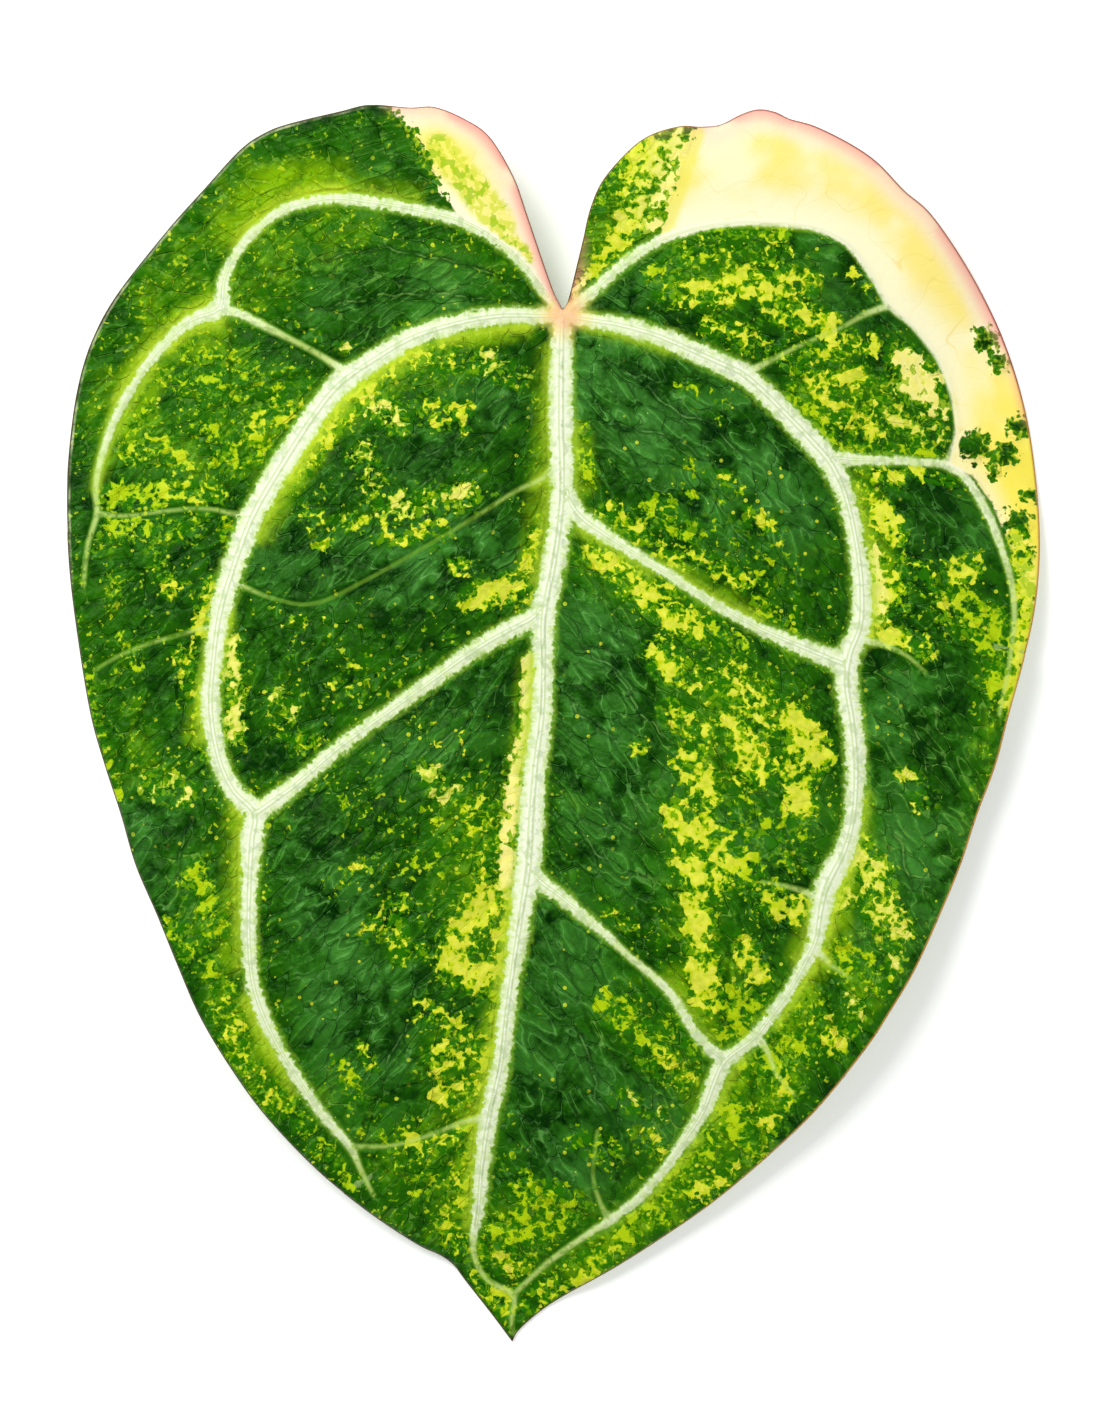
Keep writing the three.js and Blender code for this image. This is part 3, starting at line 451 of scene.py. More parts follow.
# Fresh, lighter green: strength, half width, from, to
FRESH = [
    (0.8, 5.5, (-62, 25), (-50, 28)), (0.5, 8, (-80, 8), (-62, 28)), (0.7, 5, (-60, 13), (-40, 18)),
    (0.5, 8, (-88, -10), (-72, 4)), (0.5, 7, (-90, -20), (-78, -30)), (0.5, 8, (-64, 4), (-48, 12)),
    (0.25, 9, (-46, 4), (-20, 4)), (0.3, 8, (-44, 30), (-30, 34)), (0.25, 10, (66, -76), (76, -116)),
    (0.5, 9, (-70, -12), (-60, -24)), (0.4, 7, (-94, -60), (-88, -90)),
    (0.5, 5, (-76, -110), (-60, -158)), (0.7, 7, (8, 14), (18, 32)), (0.4, 7, (22, 10), (45, 6)),
    (0.4, 7, (50, -16), (72, -22)), (0.4, 6, (-52, -20), (-24, -10)),
    (0.5, 7, (-20, -100), (-18, -130)), (0.6, 10, (44, -142), (20, -178)),
    (0.5, 9, (58, -108), (62, -132)), (0.45, 12, (28, -80), (44, -96)),
    (0.45, 9, (24, -100), (30, -140)), (0.5, 6, (-22, -148), (-22, -182)),
    (0.5, 6, (6, -50), (26, -62)), (0.6, 8, (-14, -184), (8, -184)), (0.4, 6, (10, -140), (24, -150)),
    (0.35, 8, (-44, -160), (-30, -176)), (0.45, 4, (88, -64), (80, -108)),
]
# Where a bluish sheen is painted over the deep green: strength, half width, from, to
PAINTED_SHEENS = [
    (0.8, 8, (-44, 2), (-24, 3)), (0.3, 6, (-32, 26), (-38, 32)), (0.9, 8, (-34, -50), (-18, -47)),
    (0.6, 7, (-58, -48), (-46, -52)), (0.6, 7, (-30, -88), (-16, -78)),
    (0.75, 8, (-48, -108), (-44, -145)), (0.7, 6, (-84, -100), (-78, -116)),
    (0.9, 12, (12, -14), (40, -36)), (0.8, 12, (6, -68), (14, -92)), (0.6, 9, (-2, -122), (2, -146)),
    (0.6, 8, (-8, -146), (2, -170)), (0.9, 10, (68, -76), (72, -112)), (0.5, 8, (52, 12), (60, 4)),
    (0.7, 7, (34, -104), (44, -100)), (0.5, 6, (8, 2), (16, 8)), (0.7, 6, (8, -154), (18, -162)),
    (0.6, 7, (-36, -136), (-40, -158)), (0.5, 7, (14, -112), (6, -100)),
    (0.5, 6, (54, -120), (70, -132)), (0.5, 7, (72, -40), (80, -44)), (0.5, 6, (-14, -16), (-30, -28)),
]
# Yellowish glow beside a vein: strength, half width, from, to
GLOWS = [
    (0.9, 4, (-66, 18), (-58, 26)), (1, 3.8, (-58, 26), (-46, 27)), (0.5, 2, (-46, 26), (-30, 24)),
    (0.7, 1.9, (-82, -3), (-72, 3)), (0.8, 2.2, (-90, -16), (-82, -3)),
    (0.5, 1.8, (-94, -34), (-90, -18)), (0.7, 3, (-78, -6), (-70, -3)),
    (0.6, 2.6, (-88, -22), (-82, -12)), (0.9, 2.6, (-30, -8), (-44, -18)),
    (0.9, 2.8, (-44, -18), (-54, -32)), (0.6, 2.2, (-54, -32), (-60, -44)),
    (0.8, 1.8, (-24, -6), (-8, -3.2)), (0.5, 2, (-3.5, -8), (-4.5, -28)),
    (0.6, 2.4, (-4.5, -32), (-7, -52)), (0.5, 2.2, (3, -24), (4, -34)),
    (0.7, 2.2, (-7, -70), (-9, -90)), (0.6, 2.4, (-10, -116), (-13, -134)),
    (0.7, 2.2, (-14, -140), (-19, -162)), (0.7, 2, (-19, -164), (-21, -182)),
    (0.6, 2.2, (-66, -100), (-67, -130)), (0.7, 2.2, (-64, -138), (-56, -156)),
    (0.6, 2.2, (-68, -60), (-74, -84)), (0.6, 2.4, (60, -34), (63, -50)),
    (0.6, 2.2, (63, -52), (61, -64)), (0.4, 1.8, (60.5, -97), (60, -104)),
    (0.8, 2.6, (56, -112), (54, -124)), (0.7, 2.2, (52, -128), (44, -142)),
    (0.7, 2, (36, -150), (31, -160)), (0.7, 2, (28, -166), (18, -178)), (0.6, 2, (16, -181), (2, -191)),
    (0.5, 2, (20, -50), (38, -60)), (0.5, 2, (4, -43), (16, -52)), (0.6, 2, (30, 20), (52, 19)),
    (0.4, 2, (5, -2), (20, -6.5)), (0.5, 2, (50, -118), (46, -128)), (0.5, 2.2, (22, -132), (30, -143)),
]


def spline(points, step):
    """Points about `step` apart on the smooth curve through the given ones."""
    p = np.array(points, float)
    p = np.vstack([2 * p[0] - p[1], p, 2 * p[-1] - p[-2]])
    t = np.linspace(0, 1, 16, endpoint=False)[:, None]
    spans = [
        0.5 * (2 * b + (c - a) * t + (2 * a - 5 * b + 4 * c - d) * t**2 + (3 * b - a - 3 * c + d) * t**3)
        for a, b, c, d in zip(p, p[1:], p[2:], p[3:])
    ]
    fine = np.vstack([*spans, p[-2:-1]])
    run = np.concatenate([[0], np.cumsum(np.linalg.norm(np.diff(fine[:, :2], axis=0), axis=1))])
    stops = np.linspace(0, run[-1], max(2, round(run[-1] / step)) + 1)
    return np.stack([np.interp(stops, run, column) for column in fine.T], 1)


def smooth(value, low, high):
    """0 below low, 1 above high and a smooth rise between them."""
    t = np.clip((value - low) / (high - low), 0, 1)
    return t * t * (3 - 2 * t)


def bump(value, spread):
    return np.exp(-((value / spread) ** 2))


def to_line(places, line):
    """Each place's distance from a line, with the line's third value and how far along it that is."""
    near = np.full(len(places), np.inf)
    third = np.zeros(len(places))
    along = np.zeros(len(places))
    values = line[:, 2] if line.shape[1] > 2 else np.zeros(len(line))
    run = 0
    for a, b, at_a, at_b in zip(line[:, :2], line[1:, :2], values, values[1:]):
        d = b - a
        t = np.clip((places - a) @ d / (d @ d), 0, 1)
        distance = np.hypot(*(places - a - t[:, None] * d).T)
        closer = distance < near
        near = np.where(closer, distance, near)
        third = np.where(closer, at_a + t * (at_b - at_a), third)
        along = np.where(closer, run + t * np.linalg.norm(d), along)
        run += np.linalg.norm(d)
    return near, third, along


def inside(places, outline):
    """Whether each place lies inside a closed outline."""
    odd = np.zeros(len(places), bool)
    x, y = places.T
    for (ax, ay), (bx, by) in zip(outline, np.roll(outline, -1, 0)):
        if ay != by:
            odd ^= ((ay > y) != (by > y)) & (x < (bx - ax) * (y - ay) / (by - ay) + ax)
    return odd


edge_line = np.vstack([spline(LEFT_EDGE, EDGE_STEP), spline(RIGHT_EDGE, EDGE_STEP)[1:-1]])
edge_measure = np.vstack([spline(LEFT_EDGE, 2), spline(RIGHT_EDGE, 2)[1:]])
vein_lines = {name: spline(points, 1.5) for name, points in VEINS.items()}
midrib = vein_lines["midrib"]
centre = (edge_line.min(0) + edge_line.max(0)) / 2
half = (edge_line.max(0) - edge_line.min(0)) / 2


def from_midrib(x, y):
    return x - np.interp(-y, -midrib[:, 1], midrib[:, 0])


def grain(places):
    """The way the small veins run: from the midrib outwards and to the tip, in a fan round the joint."""
    x, y = places.T
    side = from_midrib(x, np.minimum(0, y))
    side = np.where(np.abs(side) < 0.01, 0.01, side)
    steepness = GRAIN_SLOPE + TIP_GRAIN_SLOPE * smooth(-y, *TIP_GRAIN)
    source = np.minimum(0, y + steepness * np.abs(side))
    way = np.stack([side, y - source], 1)
    return way / np.linalg.norm(way, axis=1, keepdims=True)


def grain_places(places):
    """Where each place is along and across the grain, taken as straight below the joint."""
    x, y = places.T
    side = from_midrib(x, np.minimum(0, y))
    source = y + GRAIN_SLOPE * np.abs(side)
    fan = np.arctan2(y, np.abs(side)) + math.atan(GRAIN_SLOPE)
    radius = np.hypot(x, y)
    stretch = math.hypot(1, GRAIN_SLOPE)
    along = np.where(source < 0, np.abs(side) * stretch, radius)
    across = np.where(source < 0, source / stretch, fan * radius)
    return along, across + OTHER_SIDE * (side > 0)


def noise(places, size, seed):
    """Smooth random values about 0, with features `size` across."""
    turns = np.random.default_rng(seed).uniform(0, 2 * math.pi, (NOISE_CELLS, NOISE_CELLS))
    at = places / size
    cell = np.floor(at).astype(int)
    u, v = (at - cell).T

    def corner(i, j):
        turn = turns[(cell[:, 0] + i) % NOISE_CELLS, (cell[:, 1] + j) % NOISE_CELLS]
        return np.cos(turn) * (u - i) + np.sin(turn) * (v - j)

    s, t = u * u * (3 - 2 * u), v * v * (3 - 2 * v)
    low = corner(0, 0) * (1 - s) + corner(1, 0) * s
    high = corner(0, 1) * (1 - s) + corner(1, 1) * s
    return low * (1 - t) + high * t


def fold(points):
    """A long fold's line, which wavers a little."""
    line = spline(points, FOLD_STEP)
    away = [noise(line, FOLD_WANDER_SIZE, seed) for seed in (31, 32)]
    return line + FOLD_WANDER * np.stack(away, 1)


fold_lines = [fold(points) for points in FOLDS]


def to_folds(places):
    """Each place's distance from the nearest fold, which counts as further away near a fold's ends."""
    near = np.full(len(places), np.inf)
    for line in fold_lines:
        distance, _, along = to_line(places, line)
        length = np.linalg.norm(np.diff(line, axis=0), axis=1).sum()
        faded = 2 - smooth(along, 0, FOLD_FADE) - smooth(length - along, 0, FOLD_FADE)
        near = np.minimum(near, distance + FOLD_END * faded)
    return near


def streaks(places, size, seed):
    """Random values from 0 to 1, evenly spread, drawn out along the grain."""
    way = grain(places)
    # A large noise and one of half its size, each taken at five places along the grain
    total = sum(
        noise(places + k * 0.55 * size * way, size, seed)
        + 0.6 * noise(places + k * 0.3 * size * way, size / 2, seed + 1)
        for k in (-2, -1, 0, 1, 2)
    )
    return np.argsort(np.argsort(total)) / len(total)


class Net:
    """A net of irregular cells, longer along the grain. Where a net has a parent, the borders between
    cells that lie in different cells of the parent are its main ones."""

    def __init__(self, size, seed, parent=None):
        self.length, self.width = size
        self.pitch = math.sqrt(self.length * self.width)
        self.low = centre - half - NET_MARGIN * self.pitch
        counts = np.ceil(2 * half / self.pitch).astype(int) + 2 * NET_MARGIN + 1
        random = np.random.default_rng(seed)
        homes = np.stack(np.meshgrid(*[np.arange(count) for count in counts], indexing="ij"), -1)
        self.seeds = self.low + (homes + random.uniform(*NET_SPREAD, homes.shape)) * self.pitch
        self.values = random.uniform(0, 1, counts)
        self.groups = self.values
        if parent:
            self.groups = parent.find(self.seeds.reshape(-1, 2))["own"].reshape(counts)

    def find(self, places):
        """For each place, the distance from the nearest border, the move that leads onto it, whether
        that is a main border, and a random value from 0 to 1 that each cell has for itself."""
        home = np.floor((places - self.low) / self.pitch).astype(int)
        way = grain(places)
        across = np.stack([-way[:, 1], way[:, 0]], 1)
        # Of the nearest seed and the next: distance, where it is along and across, and its two values
        nearest = np.full((len(places), 5), np.inf)
        second = nearest.copy()
        for i in range(-2, 3):
            for j in range(-2, 3):
                at = tuple((home + (i, j)).T)
                apart = self.seeds[at] - places
                a, b = (apart * way).sum(1) / self.length, (apart * across).sum(1) / self.width
                found = np.column_stack([np.hypot(a, b), a, b, self.values[at], self.groups[at]])
                first = (found[:, 0] < nearest[:, 0])[:, None]
                next_best = (found[:, 0] < second[:, 0])[:, None]
                second = np.where(first, nearest, np.where(next_best, found, second))
                nearest = np.where(first, found, nearest)
        apart = second[:, 1:3] - nearest[:, 1:3]
        slope = way * (apart[:, :1] / self.length) + across * (apart[:, 1:] / self.width)
        steep = np.linalg.norm(slope, axis=1)
        border = (second[:, 0] ** 2 - nearest[:, 0] ** 2) / (2 * steep)
        return {
            "border": border,
            "move": slope * (border / steep)[:, None],
            "main": (nearest[:, 4] != second[:, 4]).astype(float),
            "own": nearest[:, 3],
        }


coarse_net = Net(COARSE_CELL, 11)
fine_net = Net(FINE_CELL, 5, coarse_net)


def veins_at(places):
    """What the veins do at each place: rib and keel heights, distances to the bands and the middle."""
    count = len(places)
    found = {key: np.zeros(count) for key in ("rib", "keel", "cord", "along", "width")}
    for key in ("to_main", "to_band"):
        found[key] = np.full(count, FAR)
    for line in vein_lines.values():
        low, high = line[:, :2].min(0) - VEIN_REACH, line[:, :2].max(0) + VEIN_REACH
        near = np.where(((places > low) & (places < high)).all(1))[0]
        distance, width, along = to_line(places[near], line)
        flank = width + RIB_FLANK
        rib = np.maximum(0, 1 - (distance / flank) ** 2) * (RIB_LEAST + RIB_DEPTH * width)
        keel = np.maximum(0, 1 - distance / flank) * KEEL_RISE * width
        cord = bump(distance, VEIN_CORD_LEAST + VEIN_CORD_SHARE * width) * np.minimum(1, width)
        for key, value in (("rib", rib), ("keel", keel), ("cord", cord)):
            found[key][near] = np.maximum(found[key][near], value)
        nearest = distance - width < found["to_band"][near]
        found["along"][near] = np.where(nearest, along, found["along"][near])
        found["width"][near] = np.where(nearest, width, found["width"][near])
        found["to_band"][near] = np.minimum(found["to_band"][near], distance - width)
        main = np.where(width > FLANK_GAP, distance - width, FAR)
        found["to_main"][near] = np.minimum(found["to_main"][near], np.maximum(0, main))
    return found


def sheet_height(places, to_main, to_edge):
    """The height of the blade's middle layer, before the low places settle on the floor."""
    x, y = places.T
    across = (x - centre[0]) / half[0]
    along = (y - centre[1]) / half[1]
    shoulders = SIDE_SHARE + (1 - SIDE_SHARE) * bump(along - SHOULDER_PLACE, SHOULDER_SPREAD)
    turn = np.arctan2(y - centre[1], x - centre[0])
    return (
        CROWN_HEIGHT
        - SHOULDER_DROP * across**2 * shoulders
        - TIP_DROP * (np.maximum(0, -along - TIP_START) / (1 - TIP_START)) ** 2
        - LOBE_DROP * smooth(along, LOBE_START, 1) ** 2
        + NOTCH_LIFT * bump(x, NOTCH_SPREAD) * smooth(y, *NOTCH_RISE)
        + CHANNEL_DEPTH * (1 - bump(from_midrib(x, np.minimum(0, y)), CHANNEL_HALF_WIDTH))
        + QUILT_HEIGHT * (1 - bump(to_main, QUILT_REACH))
        + EDGE_WAVE * np.sin(EDGE_WAVES_ROUND * turn + EDGE_WAVE_TURN) * np.exp(-to_edge / EDGE_WAVE_REACH)
        - EDGE_ROLL * np.exp(-to_edge / EDGE_ROLL_REACH)
    )


def settle(under):
    """How much each place is lifted, so that an underside at or below the floor lies flat on it."""
    soft = (under + SEAT_SOFTNESS) ** 2 / (4 * SEAT_SOFTNESS) - under
    return np.where(under <= -SEAT_SOFTNESS, -under, np.where(under >= SEAT_SOFTNESS, 0, soft))


def cream_at(places):
    """How far each place is inside the cream sectors, or below 0 how far outside."""
    cream = np.full(len(places), -FAR)
    for outline in CREAM_SECTORS.values():
        border = np.array([*outline, outline[0]], float)
        distance, *_ = to_line(places, border)
        cream = np.maximum(cream, np.where(inside(places, border[:-1]), distance, -distance))
    for x, y, radius in ISLETS:
        cream = np.minimum(cream, np.hypot(places[:, 0] - x, places[:, 1] - y) - radius)
    return np.clip(cream, -CREAM_REACH, CREAM_REACH)


def survey(places):
    """Everything about each place on the blade: its two heights, and the values its material reads."""
    found = veins_at(places)
    found["to_edge"] = to_line(places, edge_measure)[0]
    sheet = sheet_height(places, found["to_main"], found["to_edge"])
    rounding = np.sqrt(1 - np.clip(1 - found["to_edge"] / EDGE_ROUNDING, 0, 1) ** 2)
    thick = THICKNESS / 2 * rounding
    under = sheet - THICKNESS / 2 - found["rib"]
    lift = settle(under)
    found["bottom"] = under + lift + (THICKNESS / 2 - thick)
    # How much of the net shows in relief
    field = smooth(found["to_band"], 0, BAND_CLEAR) * smooth(found["to_edge"], 0, EDGE_CLEAR)
    field *= 1 - CREAM_FLATNESS * smooth(cream_at(places), *CREAM_EDGE)
    coarse = coarse_net.find(places)["border"]
    net = fine_net.find(places)
    fine = found["fine"] = net["border"]
    found["own"], found["main"] = net["own"], net["main"]
    found["to_fold"] = to_folds(places)
    from_joint = np.hypot(*(places - JOINT_PLACE).T)
    relief = (
        found["keel"]
        + VEIN_CORD_RISE * found["cord"]
        - GROOVE_DEPTH * (1 - field)
        + field * COARSE_RISE * (smooth(coarse, *COARSE_EDGE) - CELL_LEVEL)
        + field * FINE_RISE * (smooth(fine, *FINE_EDGE) - CELL_LEVEL)
        - field * MAIN_SINK * found["main"] * bump(fine, MAIN_SPREAD)
        - field * FOLD_SINK * bump(found["to_fold"], FOLD_SPREAD)
        + JOINT_RISE * bump(from_joint, JOINT_SPREAD)
    )
    found["top"] = sheet + thick + relief * rounding + lift
    return found


def stroke(places, start, end, spread, solid):
    """How strongly a stroke marks each place: wholly up to a share of its half width, then fading out."""
    distance, *_ = to_line(places, np.array([start, end], float))
    return smooth(-distance, -STROKE_REACH * spread, -solid * spread)


def strength(places, strokes):
    """How strongly a list of strokes (strength, half width, from, to) marks each place."""
    total = np.zeros(len(places))
    for amount, spread, start, end in strokes:
        total = np.maximum(total, amount * stroke(places, start, end, spread, solid=0.4))
    return total


def markings(places):
    """How much of each place is flecked, and with which colour."""
    cover = np.zeros(len(places))
    tone = np.zeros(len(places))
    weight = np.full(len(places), 1e-6)
    for colour, share, spread, start, end in PATCHES:
        here = share * stroke(places, start, end, spread, solid=0.25)
        cover = np.maximum(cover, here)
        tone += here**2 * colour
        weight += here**2
    return cover, tone / weight


def beside(line, offset):
    """The points of a line moved sideways."""
    way = np.gradient(line[:, :2], axis=0)
    way /= np.linalg.norm(way, axis=1, keepdims=True)
    return line[:, :2] + offset * np.stack([-way[:, 1], way[:, 0]], 1)


def lattice(step):
    """Points in rows over the whole leaf, every other row shifted by half a step."""
    rows = np.arange(-half[1], half[1], step * math.sqrt(3) / 2)
    columns = np.arange(-half[0] - step, half[0] + step, step)
    shifted = [columns, columns + step / 2]
    points = [np.stack([shifted[k % 2], np.full(len(columns), y)], 1) for k, y in enumerate(rows)]
    return centre + np.vstack(points)


def thin(groups, ring):
    """The places of several groups that are inside a ring and no closer than each group's gap to the
    ring or to a place taken before."""
    size = min(gap for gap, _ in groups)
    taken = {}
    kept = []
    for gap, places in [(0, ring), *groups]:
        reach = math.ceil(gap / size)
        around = [(i, j) for i in range(-reach, reach + 1) for j in range(-reach, reach + 1)]
        for x, y in places.tolist():
            column, row = math.floor(x / size), math.floor(y / size)
            near = (taken.get((column + i, row + j)) for i, j in around)
            if not any(other and math.dist(other, (x, y)) < gap for other in near):
                taken[column, row] = (x, y)
                kept.append((x, y))
    return np.array(kept[len(ring):])


def divide(step, row_step, edge_insets, vein_offsets, creases=False):
    """Places inside the edge to divide a face at: rows inside the edge and along the veins, points
    along the net's creases, and a lattice between them."""
    ring = np.vstack([edge_line, edge_line[:1]])
    rows = [beside(ring, inset)[:-1] for inset in edge_insets]
    for points in VEINS.values():
        line = spline(points, row_step)
        rows += [beside(line, side * offset) for offset in vein_offsets for side in (1, -1)]
    groups = [(ROW_GAP * row_step, np.vstack(rows))]
    if creases:
        folds = [beside(line, offset) for line in fold_lines for offset in FOLD_ROWS]
        groups.append((ROW_GAP * row_step, np.vstack(folds)))
        fine = lattice(CREASE_STEP * step)
        net = fine_net.find(fine)
        near = net["border"] < CREASE_REACH * step
        groups.append((CREASE_GAP * step, (fine + net["move"])[near]))
    groups.append((LATTICE_GAP * step, lattice(step)))
    # The rows may come nearest to the edge, and all else stays inside them
    row_inset = FIRST_ROW_SHARE * min(edge_insets)
    inner_inset = max(edge_insets) + ROW_GAP * step
    clear = []
    for gap, places in groups:
        places = places[inside(places, edge_line)]
        to_edge, *_ = to_line(places, ring)
        clear.append((gap, places[to_edge > (inner_inset if clear else row_inset)]))
    return thin(clear, edge_line)


def triangles(ring, places):
    """Triangles that fill a closed ring, with corners on it and at the places inside it."""
    points = [Vector(p) for p in np.vstack([ring, places]).tolist()]
    edges = [(i, (i + 1) % len(ring)) for i in range(len(ring))]
    corners, _, faces, *_ = delaunay_2d_cdt(points, edges, [], 1, 1e-5, False)
    corners = np.array([tuple(c) for c in corners])
    faces = np.array(faces)
    return corners, faces[inside(corners[faces].mean(1), ring)]


def leaf_mesh():
    """The whole blade as one closed mesh, with the values its material reads on each vertex."""
    top_inner = divide(TOP_STEP, creases=True, **TOP_ROWS)
    bottom_inner = divide(BOTTOM_STEP, **BOTTOM_ROWS)
    top_places, top_faces = triangles(edge_line, top_inner)
    bottom_places, bottom_faces = triangles(edge_line, bottom_inner)
    rim = len(edge_line)
    shift = len(top_places) - rim
    bottom_faces = np.where(bottom_faces < rim, bottom_faces, bottom_faces + shift)[:, ::-1]
    places = np.vstack([top_places, bottom_places[rim:]])
    found = survey(places)
    upper = np.arange(len(places)) < len(top_places)
    height = np.where(upper, found["top"], found["bottom"])
    height[:rim] = (found["top"][:rim] + found["bottom"][:rim]) / 2
    mesh = bpy.data.meshes.new("leaf_blade")
    corners = np.clip(np.column_stack([places - centre, height]) * MM, *cad_bounds)
    mesh.from_pydata(corners.tolist(), [], np.vstack([top_faces, bottom_faces]).tolist())
    mesh.shade_smooth()
    cover, tone = markings(places)
    fleck = 0.6 * streaks(places, size=2.4, seed=21) + 0.4 * found["own"]
    values = {
        "veins": (found["to_band"], found["width"], found["along"]),
        "edge": (found["to_edge"], upper, strength(places, GLOWS)),
        "net": (found["fine"], found["main"], found["own"]),
        "marks": (cover, tone, cream_at(places)),
        "tints": [strength(places, strokes) for strokes in (BLUSHES, FRESH, PAINTED_SHEENS)],
        "pattern": (fleck, *places.T),
        "lie": (found["to_fold"], *grain_places(places)),
    }
    for name, columns in values.items():
        attribute = mesh.attributes.new(name, "FLOAT_VECTOR", "POINT")
        attribute.data.foreach_set("vector", np.column_stack(columns).astype(np.float32).ravel())
    return mesh


def colour(red, green, blue):
    """An 8-bit screen colour as the linear values that a shader takes."""
    channels = [c / 255 for c in (red, green, blue)]
    return (*[c / 12.92 if c <= 0.04045 else ((c + 0.055) / 1.055) ** 2.4 for c in channels], 1)


class Nodes:
    """Short names for the shader nodes that the materials are made of."""

    def __init__(self, name):
        self.material = bpy.data.materials.new(name)
        self.material.use_nodes = True
        self.tree = self.material.node_tree
        self.shader = self.tree.nodes["Principled BSDF"]

    def add(self, kind, inputs, **settings):
        node = self.tree.nodes.new(kind)
        for name, value in settings.items():
            setattr(node, name, value)
        for name, value in inputs.items():
            self.put(node.inputs[name], value)
        return node

    def put(self, socket, value):
        if isinstance(value, bpy.types.NodeSocket):
            self.tree.links.new(value, socket)
        else:
            socket.default_value = value

    def math(self, operation, *values):
        return self.add("ShaderNodeMath", dict(enumerate(values)), operation=operation).outputs[0]

    def times(self, *values):
        total = values[0]
        for value in values[1:]:
            total = self.math("MULTIPLY", total, value)
        return total

    def total(self, *shares):
        """The sum of values, each given with how much of it to take."""
        result = 0.0
        for value, share in shares:
            inputs = {0: value, 1: share, 2: result}
            result = self.add("ShaderNodeMath", inputs, operation="MULTIPLY_ADD").outputs[0]
        return result

    def rise(self, value, low, high):
        """A smooth rise from 0 at low to 1 at high, or a fall where low is above high."""
        inputs = {"Value": value, "From Min": low, "From Max": high}
        return self.add("ShaderNodeMapRange", inputs, interpolation_type="SMOOTHSTEP").outputs[0]

    def mix(self, share, under, over):
        node = self.add("ShaderNodeMix", {}, data_type="RGBA")
        for socket, value in zip((node.inputs[0], node.inputs[6], node.inputs[7]), (share, under, over)):
            self.put(socket, value)
        return node.outputs[2]

    def three(self, name):
        """The three values of one of the mesh's attributes."""
        attribute = self.add("ShaderNodeAttribute", {}, attribute_name=name)
        return self.add("ShaderNodeSeparateXYZ", {0: attribute.outputs["Vector"]}).outputs

    def vector(self, operation, *values, **named):
        inputs = {**dict(enumerate(values)), **named}
        return self.add("ShaderNodeVectorMath", inputs, operation=operation).outputs[0]

    def millimetres(self):
        place = self.add("ShaderNodeTexCoord", {}).outputs["Object"]
        return self.vector("SCALE", place, Scale=1 / MM)

    def noise(self, place, size, detail=3.0, roughness=0.55):
        """Smooth random values, spread over 0 to 1, with features this size."""
        inputs = {"Vector": place, "Scale": 1 / size, "Detail": detail, "Roughness": roughness}
        return self.rise(self.add("ShaderNodeTexNoise", inputs).outputs["Fac"], 0.3, 0.7)

    def warped(self, place, size, amount):
        """The place moved by up to about this amount, differently every `size`."""
        inputs = {"Vector": place, "Scale": 1 / size, "Detail": 1.0}
        colours = self.add("ShaderNodeTexNoise", inputs).outputs["Color"]
        away = self.vector("SUBTRACT", colours, (0.5, 0.5, 0.5))
        return self.vector("ADD", place, self.vector("SCALE", away, Scale=2 * amount))

    def islets(self, place, spacing):
        """1 at the middles of irregular cells this far apart, and down to 0 between them."""
        inputs = {"Vector": place, "Scale": 1 / spacing}
        grid = self.add("ShaderNodeTexVoronoi", inputs, voronoi_dimensions="2D")
        return self.rise(grid.outputs["Distance"], 0.9, 0.05)

    def dots(self, place, spacing, radius, share):
        """Small round dots, in this share of the cells of an irregular grid."""
        inputs = {"Vector": place, "Scale": 1 / spacing}
        grid = self.add("ShaderNodeTexVoronoi", inputs, voronoi_dimensions="2D")
        chosen = self.add("ShaderNodeSeparateColor", {0: grid.outputs["Color"]}).outputs[0]
        size = self.times(self.rise(chosen, 1 - share, 1), radius / spacing)
        return self.math("LESS_THAN", grid.outputs["Distance"], size)

    def surface(self, colour, roughness):
        self.put(self.shader.inputs["Base Color"], colour)
        self.put(self.shader.inputs["Roughness"], roughness)

    def relief(self, height, distance, share):
        """Small relief in the shading alone, up to a share of this many millimetres high."""
        inputs = {"Height": height, "Distance": distance * MM, "Strength": share}
        self.put(self.shader.inputs["Normal"], self.add("ShaderNodeBump", inputs).outputs[0])


